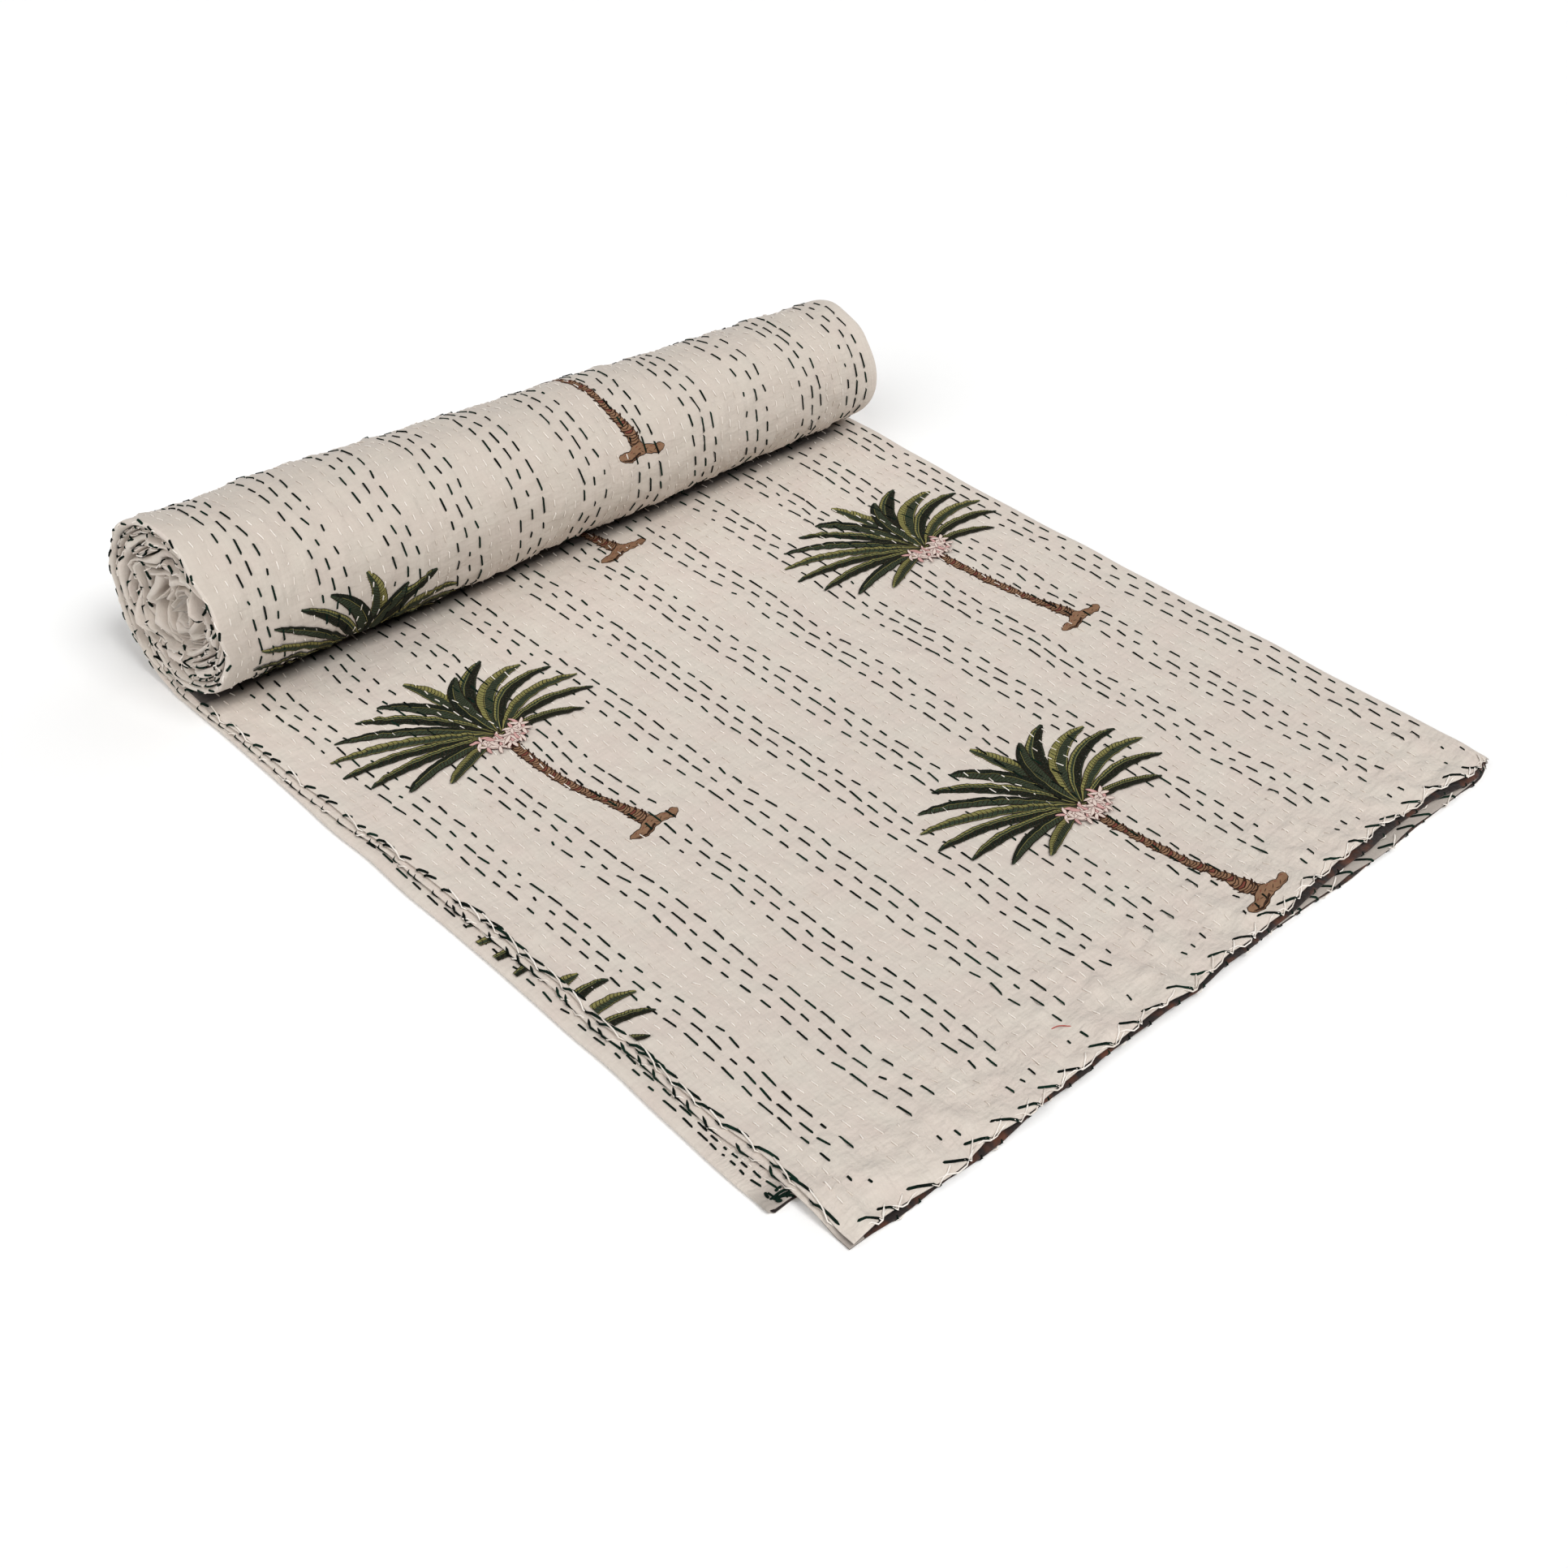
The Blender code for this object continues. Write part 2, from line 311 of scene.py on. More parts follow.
FLAT_LINES = stitch_lines(FIRST_BAND_FLAT)
ROLL_LINES = stitch_lines(FIRST_BAND_ROLL)


def fine_columns(lines, start):
    """Columns on each stitch line, beside it, and halfway to the next."""
    places = [x for x, _ in lines]
    found = set(start)
    for x in places:
        found |= {x - BESIDE_LINE, x, x + BESIDE_LINE}
    found |= {(a + b) / 2 for a, b in zip(places, places[1:])}
    found |= {(places[-1] + RUN) / 2, RUN}
    kept = [start[0]]
    for x in sorted(found):
        if kept[-1] + LEAST_COLUMN < x <= RUN:
            kept.append(x)
    return kept


Column = namedtuple("Column", "part layer x turn share normal_x normal_up upper hem")


def run_columns(layer, places, hemmed):
    """One layer's columns in the order of travel. Its printed side is on the left of its travel."""
    facing = 1.0 if places[-1] > places[0] else -1.0
    share, upper = layer / (LAYERS - 1), layer > 1
    hems = places if hemmed else [1.0] * len(places)
    return [
        Column("run", layer, x, 0.0, share, 0.0, facing, upper, hem) for x, hem in zip(places, hems)
    ]


def fold_columns(part, low, high, side, steps, down):
    """The columns round a fold between two layers, at the wide side (1) or the left one (-1)."""
    columns = []
    middle, half = (low + high) / 2 / (LAYERS - 1), (high - low) / 2 / (LAYERS - 1)
    outward = 1.0 if (side > 0) == down else -1.0
    for step in range(1, steps):
        angle = math.pi * (0.5 - step / steps) * (1.0 if down else -1.0)
        turn, rise = side * math.cos(angle), math.sin(angle)
        share = middle + half * rise
        normal = turn * outward, rise * outward
        columns.append(Column(part, -1, 0.0, turn, share, *normal, share > 0.5, 1.0))
    return columns


def all_columns():
    """The columns of all layers and folds, in the order in which the sheet travels."""
    inner = [0.0300] + list(np.linspace(0.0420, RUN, 40))
    plain = [0.0, 0.0035, 0.0080, 0.0130, 0.0200] + inner
    hemmed = list(HEM_COLUMNS) + [0.0150] + inner
    return (
        run_columns(3, fine_columns(FLAT_LINES, HEM_COLUMNS), True)
        + fold_columns("wide", 0, 3, 1, 10, True)
        + run_columns(0, fine_columns(ROLL_LINES, (0.0, 0.0035, 0.0080))[::-1], False)
        + fold_columns("left", 0, 1, -1, 6, False)
        + run_columns(1, plain, False)
        + fold_columns("tight", 1, 2, 1, 6, False)
        + run_columns(2, hemmed[::-1], True)
    )


def all_rows():
    """The rows w: denser at the hems, even on the flat and on the outer turn, and wider in the core."""
    rows = [distance / MIDDLE_ALONG for distance in HEM_COLUMNS]
    count = round((1.0 - rows[-1]) * MIDDLE_ALONG / ROW_STEP)
    rows += list(np.linspace(rows[-1], 1.0, count + 1)[1:])
    turns = 0.0
    middle = PACK[2]
    while turns < TURNS:
        step = ROW_STEP if turns < OUTER_TURNS else CORE_ROW_STEP
        turns += step / (2.0 * math.pi * max(middle.radius - middle.pitch * turns, LEAST_RADIUS))
        rows.append(1.0 + min(turns, TURNS))
    if rows[-1] - rows[-2] < LEAST_LAST_ROW:
        rows.pop(-2)
    rows[-1] = 1.0 + TURNS
    return np.array(rows)


class Cloth:
    """The lattice of the sheet: for each row and column, a point on its printed side and its reverse."""

    def __init__(self):
        self.columns = all_columns()
        self.rows = all_rows()
        _, self.layer, self.x, _, self.share, normal_x, normal_up, self.upper, _ = (
            np.array(values) for values in zip(*self.columns)
        )
        w = self.rows[:, None]
        self.across = self.across_of(w)
        self.far_hem = (1.0 + TURNS - w) * LAST_TURN_LENGTH
        middle = self.heights(w)
        half = SHEET / 2 * self.thickness(w)
        self.sides = [
            self.bend(self.across + side * half * normal_x, middle + side * half * normal_up, w)
            for side in (1.0, -1.0)
        ]
        normal, relief = self.normals(0), self.relief(w)
        lifts = (relief, self.under_relief(relief, w))
        self.sides = [side + normal * lift[..., None] for side, lift in zip(self.sides, lifts)]
        self.facing = [self.normals(side) for side in (0, 1)]

    def across_of(self, w):
        """Actual x of every column at every row."""
        half = SHEET / 2
        wide = edges_at("wide_fold", w) - half - WIDE_FOLD_DEPTH
        tight = edges_at("wide_fold", w) - SHEET - TIGHT_FOLD_CLEARANCE - half - TIGHT_FOLD_DEPTH
        left = edges_at("left_fold", w) + half + LEFT_FOLD_DEPTH
        starts = {3: edges_at("top_hem", w), 2: edges_at("second_hem", w), 1: left, 0: left}
        ends = {3: wide, 0: wide, 1: tight, 2: tight}
        folds = {
            "wide": (wide, WIDE_FOLD_DEPTH),
            "left": (left, LEFT_FOLD_DEPTH),
            "tight": (tight, TIGHT_FOLD_DEPTH),
        }
        found = np.zeros((len(self.rows), len(self.columns)))
        for i, (part, layer, x, turn, *_) in enumerate(self.columns):
            if part != "run":
                middle, depth = folds[part]
                found[:, i : i + 1] = middle + depth * turn
                continue
            from_start = 1.0 - smooth(x / EDGE_FADE)
            from_end = smooth((x - RUN + EDGE_FADE) / EDGE_FADE)
            shift = starts[layer] * from_start + (ends[layer] - RUN) * from_end
            inside = 1.0 - from_start - from_end
            found[:, i : i + 1] = x + shift + self.wobble(layer, x, w * MIDDLE_ALONG) * inside
        return found

    def wobble(self, layer, x, along):
        """How the outer layers' stitch lines wander across. The top one's drift left near its corner."""
        if layer == 3:
            drift = (1.0 - smooth(along / DRIFT_REACH)) * math.exp(-(((x - DRIFT_X) / DRIFT_WIDTH) ** 2))
            wander = 0.0010 * FLAT_WOBBLE(x, along) + 0.0002 * LINE_WOBBLE(x, along)
            return wander - DRIFT * drift
        if layer == 0:
            return 0.0014 * ROLL_WOBBLE(x, along) + 0.0002 * LINE_WOBBLE(x, along)
        return 0.0

    def thickness(self, w):
        """The sheet's thickness, as a share of its usual one: its hems are turned in and rounded."""
        to_hem = np.array([column.hem for column in self.columns])[None, :]
        distance = np.minimum(np.minimum(to_hem, w * MIDDLE_ALONG), self.far_hem)
        return np.interp(distance, HEM_COLUMNS, HEM_THICKNESS)

    def heights(self, w):
        """The height of the sheet's middle in the pack of four layers."""
        flat, rolled = curve(PACK, "flat", self.across), curve(PACK, "rolled", self.across)
        pack = flat + (rolled - flat) * smooth(w)
        return SHEET / 2 + self.share * (pack - SHEET)

    def bend(self, x, height, w):
        """Points in the object's frame."""
        flat = self.bend_flat(x, height, np.minimum(w, 1.0))
        roll = self.bend_roll(x, height, np.maximum(w - 1.0, 0.0))
        return np.where((w <= 1.0)[..., None], flat, roll) - np.array([MIDDLE_X, MIDDLE_Y, 0.0])

    def bend_flat(self, x, height, w):
        along = w * curve(PACK, "axis", x)
        pack = curve(PACK, "flat", x)
        upper_hem, lower_hem = curve(NEAR_HEM, "upper", x), curve(NEAR_HEM, "lower", x)
        second = curve(NEAR_HEM, "second", x) * (np.abs(self.share - 2 / 3) < 0.2)
        set_back = np.where(self.upper, upper_hem + second, lower_hem)
        set_back = set_back + HEM_WANDER * HEM_WAVE(x, 3.0 + self.share * 2.0 + 0.0 * x)
        y = along + set_back * (1.0 - smooth(along / NEAR_REACH))
        droop = np.where(self.upper, smooth((lower_hem - DROOP_SETBACK - y) / DROOP_LENGTH), 0.0)
        near = 1.0 - smooth(y / GAP_REACH)
        gap = curve(NEAR_HEM, "gap", x) * near
        push = np.interp(self.share, (0.0, 1 / 3, 2 / 3, 1.0), (0.0, -0.6, -0.5, 1.0))
        z = height - droop * pack / 2 + push * gap
        rise = SWELL_HEIGHT * SWELL(x, y) + NEAR_LIFT * near * HEM_LIFT(x, y)
        rise = rise + LEFT_LIFT * np.exp(-np.square(x / 0.022)) * HEM_LIFT(x + 0.4, y)
        z = z + rise * np.clip(height / pack, 0.0, 1.0) * (1.0 - 0.5 * droop)
        return np.stack([x, y, np.maximum(z, 0.0)], axis=-1)

    def bend_roll(self, x, height, turns):
        radius, pitch = curve(PACK, "radius", x), curve(PACK, "pitch", x)
        angle = 2.0 * math.pi * turns
        reach = radius - pitch * turns - height
        held = smooth(turns / 0.15)
        reach = reach + DENT_DEPTH * held * DENT(x, 0.06 * np.sin(angle), 0.06 * np.cos(angle))
        out = reach * np.sin(angle)
        up = radius - reach * np.cos(angle)
        rise = up - curve(PACK, "rolled", x)
        up = np.where(rise > 0.0, up - SAG * rise, up)
        out = np.where(rise > 0.0, out * (1.0 + SPREAD * smooth(rise / radius)), out)
        inner = np.maximum(x, 0.0)
        crush = CRUSH * np.exp(-np.square(inner / 0.045)) * smooth((0.054 - reach) / 0.020)
        slide = SLIDE * np.exp(-np.square(inner / 0.030)) * smooth((0.060 - reach) / 0.02)
        y = curve(PACK, "axis", x) + out + crush * CRUSH_Y(out, up)
        z = np.maximum(up + crush * CRUSH_Z(out, up), 0.0)
        return np.stack([x + slide * END_WAVE(out, up), y, z], axis=-1)

    def lengths_along(self, w):
        """How far each lattice point is along its stitch lines: y on the flat, the arc on the roll."""
        flat = np.minimum(w, 1.0) * curve(PACK, "axis", self.x)[None, :]
        roll = arc_at(self.x[None, :], np.maximum(w - 1.0, 0.0))
        return flat, roll

    def relief(self, w):
        """How far the printed side stands out: valleys along the stitches and puffs between them."""
        flat, roll = self.lengths_along(w)
        found = np.zeros_like(self.across)
        for layer, lines, along, shown in (
            (3, TOP_STITCHES, flat, 1.0 - smooth((w - 0.98) / 0.02)),
            (0, ROLL_STITCHES, roll, smooth((w - 1.0) / 0.04) * (1.0 - smooth((w - 2.02) / 0.05))),
        ):
            pick = np.flatnonzero(self.layer == layer)
            x, s = self.x[pick][None, :], along[:, pick]
            part = PUFF_HEIGHT * PUFF(x, s) - self.valleys(lines, x, s)
            if layer == 3:
                near_hem = 1.0 - smooth((s - 0.020) / 0.070)
                part += WIDE_PUFF_HEIGHT * PUFF_WIDE(x, s) * (0.5 + 0.5 * near_hem)
                part += near_hem * (RIPPLE_HEIGHT * NEAR_RIPPLE(x, s) + NEAR_SWELL)
                part += self.creases(x, s)
            else:
                part += WIDE_PUFF_HEIGHT * PUFF_WIDE(x, s) + DRAG_HEIGHT * DRAG(x, s)
            inside = smooth(x / 0.012) * (1.0 - smooth((x - RUN + 0.010) / 0.010))
            found[:, pick] = part * shown * inside
        return np.where(found < 0.0, DEEPEST * np.tanh(found / DEEPEST), found)

    def valleys(self, lines, x, s):
        """How deep the cloth is drawn in along the stitch lines, most where a thread goes in."""
        depths = np.zeros_like(s)
        for line in lines:
            ends = np.array([end for dash in line.dashes for end in dash])
            depth = GREEN_VALLEY if line.colour == "green" else CREAM_VALLEY
            for i in np.flatnonzero(np.abs(x[0] - line.x) < 0.006):
                reach = math.exp(-(((x[0, i] - line.x) / VALLEY_WIDTH) ** 2))
                nearest = np.abs(s[:, i : i + 1] - ends[None, :]).min(axis=1)
                depths[:, i] += depth * reach * (0.72 + 0.28 * np.exp(-np.square(nearest / 0.0026)))
        return depths

    def under_relief(self, relief, w):
        """The reverse follows the dips of the printed side but, away from the open edges, not its rises,
        so that its larger faces stay inside the sheet."""
        inner = np.minimum(np.minimum(self.x, RUN - self.x)[None, :], w * MIDDLE_ALONG)
        hidden = smooth((inner - 0.007) / 0.006) * np.isin(self.layer, (0, 3))
        return relief - hidden * np.maximum(relief + 0.0003, 0.0)

    def creases(self, x, y):
        """Soft creases on the top layer, each a ridge beside a trough, placed as listed."""
        total = np.zeros_like(y + x)
        for crease in CREASES:
            way = np.array([crease.to_x - crease.x, crease.to_y - crease.y])
            length = np.linalg.norm(way)
            way = way / length
            along = (x - crease.x) * way[0] + (y - crease.y) * way[1]
            aside = (y - crease.y) * way[0] - (x - crease.x) * way[1]
            aside = (aside + 0.0012 * np.sin(along / 0.014 + crease.x * 40.0)) / crease.width
            reach = smooth(along / 0.012) * (1.0 - smooth((along - length + 0.012) / 0.012))
            shape = np.exp(-np.square(aside)) - 0.8 * np.exp(-np.square(aside + 1.6))
            total += crease.height * reach * shape
        return total

    def normals(self, side):
        """The lattice's outward normals on a side."""
        points = self.sides[side]
        found = np.cross(np.gradient(points, axis=1), np.gradient(points, axis=0))
        found /= np.maximum(np.linalg.norm(found, axis=-1, keepdims=True), 1e-12)
        return found if side == 0 else -found

    def column_at(self, layer, x):
        pick = np.flatnonzero(self.layer == layer)
        order = np.argsort(self.x[pick])
        return np.interp(x, self.x[pick][order], pick[order])

    def row_number(self, w):
        return np.interp(w, self.rows, np.arange(len(self.rows)))

    def place(self, side, column, row, lift=0.0):
        """Points and normals at fractional columns and rows w, lifted off the cloth."""
        return self.place_at(side, column, self.row_number(row), lift)

    def place_at(self, side, column, row_number, lift=0.0):
        """The same for fractional row numbers. Points are on the two triangles of their cell."""
        j, k = np.asarray(row_number, float), np.asarray(column, float)
        j0 = np.clip(np.floor(j).astype(int), 0, len(self.rows) - 2)
        k0 = np.clip(np.floor(k).astype(int), 0, len(self.columns) - 2)
        a, b = (j - j0)[..., None], (k - k0)[..., None]

        def mixed(grid):
            first, last = grid[j0, k0], grid[j0 + 1, k0 + 1]
            beside, below = grid[j0, k0 + 1], grid[j0 + 1, k0]
            one = first + (beside - first) * b + (last - beside) * a
            other = first + (below - first) * a + (last - below) * b
            return np.where(b >= a, one, other)

        normal = mixed(self.facing[side])
        normal /= np.linalg.norm(normal, axis=-1, keepdims=True)
        return mixed(self.sides[side]) + normal * np.asarray(lift)[..., None], normal


Crease = namedtuple("Crease", "x y to_x to_y width height")
CREASES = (
    Crease(0.176, 0.306, 0.256, 0.276, 0.0024, 0.00085),
    Crease(0.004, 0.095, 0.034, 0.082, 0.0018, 0.00100),
    Crease(0.003, 0.028, 0.032, 0.034, 0.0015, 0.00120),
    Crease(0.070, 0.026, 0.128, 0.038, 0.0019, 0.00090),
    Crease(0.092, 0.070, 0.150, 0.056, 0.0024, 0.00070),
    Crease(0.150, 0.030, 0.212, 0.046, 0.0019, 0.00095),
    Crease(0.205, 0.058, 0.300, 0.042, 0.0024, 0.00070),
    Crease(0.262, 0.024, 0.312, 0.032, 0.0018, 0.00085),
    Crease(0.330, 0.060, 0.420, 0.048, 0.0026, 0.00070),
    Crease(0.400, 0.026, 0.452, 0.034, 0.0019, 0.00075),
    Crease(0.455, 0.052, 0.545, 0.062, 0.0024, 0.00070),
    Crease(0.020, 0.452, 0.070, 0.470, 0.0026, 0.00060),
)

# ---------------------------------------------------------------- running stitches
Line = namedtuple("Line", "x colour dashes")
SHORTEST, LONGEST = 0.40, 0.86  # shares of a kind's usual length and of its pitch
FIRST_GREEN = 0.029  # how far the first whole dashes and the first dots are from the near hem
FIRST_CREAM = 0.013
FIRST_DOT = 0.010
DOT_CHANCE = 0.72


def sew(lines, start, end, seed, near_hem):
    """The dashes of each line, as (from, to) along it. Neighbouring green lines are half a stitch
    apart, roughly. At the near hem the bands thin out into dots."""
    draw = np.random.default_rng(seed)
    sewn = []
    greens = 0
    for x, colour in lines:
        kind = GREEN_STITCH if colour == "green" else CREAM_STITCH
        at = start + draw.uniform(0.0, kind.pitch)
        dashes = []
        if colour == "green":
            if greens % 3 == 0:
                band_start = start + draw.uniform(0.0, kind.pitch)
            at = band_start + (greens % 3 == 1) * kind.pitch / 2
            greens += 1
        if near_hem and colour == "green":
            first = FIRST_GREEN + draw.uniform(-0.007, 0.009)
            dashes = dots(draw, first)
            at += kind.pitch * math.ceil((first - at) / kind.pitch)
        elif near_hem:
            at = FIRST_CREAM + draw.uniform(0.0, 0.008)
        sewn.append(Line(x, colour, dashes + even_dashes(draw, kind, at, end)))
    return sewn


def dots(draw, first):
    """Short stray dashes between the near hem and the first whole dash of a green line."""
    found = []
    spot = FIRST_DOT + draw.uniform(0.0, 0.007)
    while spot < first - 0.011:
        length = draw.uniform(0.0022, 0.0058)
        if draw.uniform() < DOT_CHANCE:
            found.append((spot, spot + length))
        spot += draw.uniform(0.010, 0.014)
    return found


def even_dashes(draw, kind, at, end):
    """A line's dashes, with the drift, the uneven lengths and the odd short stitch of handwork."""
    found = []
    drift = 0.0
    while at < end:
        length = max(draw.normal(kind.length, kind.spread), SHORTEST * kind.length)
        length = min(length, LONGEST * kind.pitch)
        if draw.uniform() < 0.05:
            length *= 0.45
        drift = 0.86 * drift + draw.normal(0.0, 0.0010)
        middle = at + drift + kind.length / 2
        found.append((middle - length / 2, middle + length / 2))
        at += kind.pitch
    return found


TOP_STITCHES = sew(FLAT_LINES, 0.0, 0.578, 41, True)
ROLL_STITCHES = sew(ROLL_LINES, 0.004, 0.385, 42, False)


# ================================================================ meshes
def new_object(name, points, faces, materials, slots=None, smoothed=True):
    mesh = bpy.data.meshes.new(name)
    mesh.from_pydata(np.asarray(points).tolist(), [], faces)
    mesh.validate()
    for material in materials:
        mesh.materials.append(material)
    if slots is not None:
        mesh.polygons.foreach_set("material_index", np.asarray(slots, np.int32))
    if smoothed:
        mesh.shade_smooth()
    mesh.update()
    made = bpy.data.objects.new(name, mesh)
    bpy.context.scene.collection.objects.link(made)
    return made


def set_uv(made, name, coordinates):
    """A UV map from one pair of numbers for each vertex."""
    mesh = made.data
    corners = np.empty(len(mesh.loops), np.int32)
    mesh.loops.foreach_get("vertex_index", corners)
    layer = mesh.uv_layers.new(name=name)
    layer.data.foreach_set("uv", np.asarray(coordinates, np.float32)[corners].ravel())


NEAR_FINE = 0.012  # fine cells are this close to the near hem, in rows, and to the left edge
LEFT_FINE = 0.0085
LOWER_FINE = 0.0290
INNER_FINE = 0.0205


def column_groups(cloth):
    """Where the coarse cells' columns begin: at each change of part, and every so many columns."""
    bounds = [0]
    for i, (before, here) in enumerate(zip(cloth.columns, cloth.columns[1:]), start=1):
        run = here.part == "run"
        step = 3 if not run else 12 if here.layer in (0, 3) else 4
        changed = before.part != here.part or before.layer != here.layer
        near_end = run and here.layer in (1, 2) and min(before.x, here.x) < INNER_FINE
        hem_end = run and (before.x - HEM_END - 0.0001) * (here.x - HEM_END - 0.0001) < 0
        if changed or near_end or hem_end or i - bounds[-1] >= step:
            bounds.append(i)
    return sorted(set(bounds + [len(cloth.columns) - 1]))


def row_groups(cloth):
    bounds = [0, 5]
    for j, w in enumerate(cloth.rows[6:], start=6):
        step = 5 if w < 0.95 else 4 if w < 2.2 else 3 if w < 4.0 else 2
        if j - bounds[-1] >= step:
            bounds.append(j)
    return sorted(set(bounds + [len(cloth.rows) - 1]))


def is_fine(column, after, w, side):
    """Whether a coarse cell shows closely enough to keep all its lattice points."""
    parts = {column.part, after.part}
    printed = side == 0
    if "run" not in parts:
        return printed and column.part in ("wide", "left")
    if column.part != after.part:
        return printed and "tight" not in parts
    x = min(column.x, after.x)
    if w < NEAR_FINE or (column.layer > 1 and x < LEFT_FINE):
        return True
    if column.layer == 3:
        return printed and w < 0.985
    if column.layer == 1:
        return printed and x < LOWER_FINE
    return printed and column.layer == 0 and (x < 0.0080 or 1.0 - 1e-9 <= w < 2.06)


def fine_cells(cloth, js, ks):
    """Which coarse cells are fine, by side, row and column."""
    fine = np.zeros((2, len(js) - 1, len(ks) - 1), bool)
    for b, (k0, k1) in enumerate(zip(ks, ks[1:])):
        middle = (k0 + k1) // 2
        pair = cloth.columns[middle], cloth.columns[min(middle + 1, k1)]
        for a, side in product(range(len(js) - 1), (0, 1)):
            fine[side, a, b] = is_fine(*pair, cloth.rows[js[a]], side)
    return fine


def build_sheet(cloth):
    """The closed mesh: every lattice point where it shows, and larger faces where it doesn't."""
    ks, js = column_groups(cloth), row_groups(cloth)
    fine = fine_cells(cloth, js, ks)
    last_a, last_b = len(js) - 2, len(ks) - 2
    index, points, uvs, faces = {}, [], [], []
    band = np.concatenate([[0.0], np.cumsum(np.abs(np.diff(cloth.across[0])) + 0.0004)])
    rolled = MIDDLE_ALONG + arc_at(0.2, np.maximum(cloth.rows - 1.0, 0.0))
    arcs = np.where(cloth.rows <= 1.0, cloth.rows * MIDDLE_ALONG, rolled)

    def vertex(side, j, k):
        key = (side, j, k)
        if key not in index:
            index[key] = len(points)
            points.append(cloth.sides[side][j, k])
            uvs.append((band[k] + side * REVERSE_UV, arcs[j]))
        return index[key]

    def add_face(corners, flip):
        face = [vertex(*corner) for corner in corners]
        faces.append(face[::-1] if flip else face)

    def stretch(first, last, dense):
        return list(range(first, last + 1)) if dense else [first, last]

    cells = list(product(enumerate(zip(js, js[1:])), enumerate(zip(ks, ks[1:]))))
    for side, ((a, (j0, j1)), (b, (k0, k1))) in product((0, 1), cells):
        if fine[side, a, b]:
            for j, k in product(range(j0, j1), range(k0, k1)):
                corners = (j, k), (j, k + 1), (j + 1, k + 1), (j + 1, k)
                add_face([(side, *corner) for corner in corners], side == 1)
            continue
        near = stretch(k0, k1, a > 0 and fine[side, a - 1, b])
        far = stretch(k0, k1, a < last_a and fine[side, a + 1, b])
        left = stretch(j0, j1, b > 0 and fine[side, a, b - 1])
        right = stretch(j0, j1, b < last_b and fine[side, a, b + 1])
        ring = [(side, j0, k) for k in near[:-1]] + [(side, j, k1) for j in right[:-1]]
        ring += [(side, j1, k) for k in far[:0:-1]] + [(side, j, k0) for j in left[:0:-1]]
        add_face(ring, side == 1)
    for a, j, flip in ((0, 0, True), (last_a, len(cloth.rows) - 1, False)):
        for b, (k0, k1) in enumerate(zip(ks, ks[1:])):
            printed, reverse = ([(s, j, k) for k in stretch(k0, k1, fine[s, a, b])] for s in (0, 1))
            add_face(printed + reverse[::-1], flip)
    for b, k, flip in ((0, 0, False), (last_b, len(cloth.columns) - 1, True)):
        for a, (j0, j1) in enumerate(zip(js, js[1:])):
            printed, reverse = ([(s, j, k) for j in stretch(j0, j1, fine[s, a, b])] for s in (0, 1))
            add_face(printed + reverse[::-1], flip)
    parts = [column.part for column in cloth.columns]
    folds = [float(band[parts.index(part)]) for part in ("wide", "left")]
    made = new_object("quilt_cloth", points, faces, [cloth_material(*folds, band[-1] - SECOND_HEM_TURN)])
    set_uv(made, "cloth", uvs)
    return made


def tubes(centres, normals, half, sides):
    """Closed threads of one number of points each, flattened against the cloth. Also how far along and
    round each point is, for the thread's twist."""
    count, steps = centres.shape[:2]
    tangent = np.gradient(centres, axis=1)
    tangent /= np.maximum(np.linalg.norm(tangent, axis=-1, keepdims=True), 1e-12)
    aside = np.cross(tangent, normals)
    aside /= np.maximum(np.linalg.norm(aside, axis=-1, keepdims=True), 1e-12)
    above = np.cross(aside, tangent)
    turns = np.arange(sides) * (2.0 * math.pi / sides)
    taper = np.ones(steps)
    taper[0] = taper[-1] = THREAD_END
    ring = aside[:, :, None, :] * (np.cos(turns) * half[0])[None, None, :, None]
    ring = ring + above[:, :, None, :] * (np.sin(turns) * half[1])[None, None, :, None]
    points = centres[:, :, None, :] + ring * taper[None, :, None, None]
    uv = np.zeros((count, steps, sides, 2))
    uv[:, 1:, :, 0] = np.cumsum(np.linalg.norm(np.diff(centres, axis=1), axis=-1), axis=1)[:, :, None]
    uv[..., 1] = np.arange(sides) / sides
    number = np.arange(count * steps * sides).reshape(count, steps, sides)
    after = np.roll(number, -1, axis=2)
    quads = np.stack([number[:, :-1], after[:, :-1], after[:, 1:], number[:, 1:]], axis=-1)
    faces = quads.reshape(-1, 4).tolist() + number[:, 0, ::-1].tolist() + number[:, -1, :].tolist()
    return points.reshape(-1, 3), faces, uv.reshape(-1, 2)


def stacked(paths):
    """The points of several threads and their normals, as two arrays."""
    centres, normals = zip(*paths)
    return np.array(centres), np.array(normals)


def build_threads(name, material, groups, half, sides=6):
    """One mesh of all threads in groups of (centres, normals), from half their width and height."""
    points, faces, uv = np.empty((0, 3)), [], np.empty((0, 2))
    for centres, normals in groups:
        ring_points, quads, along = tubes(centres, normals, half, sides)
        faces += [[number + len(points) for number in quad] for quad in quads]
        points, uv = np.concatenate([points, ring_points]), np.concatenate([uv, along])
    made = new_object(name, points, faces, [material])
    set_uv(made, "thread", uv)
    return made


THREAD_END = 0.45  # the size of a thread's end, as a share of its middle
DASH_STATIONS = np.array([0.0, 0.10, 0.34, 0.66, 0.90, 1.0])
DASH_LIFTS = np.array([-0.60, 0.60, 0.95, 0.95, 0.60, -0.60])


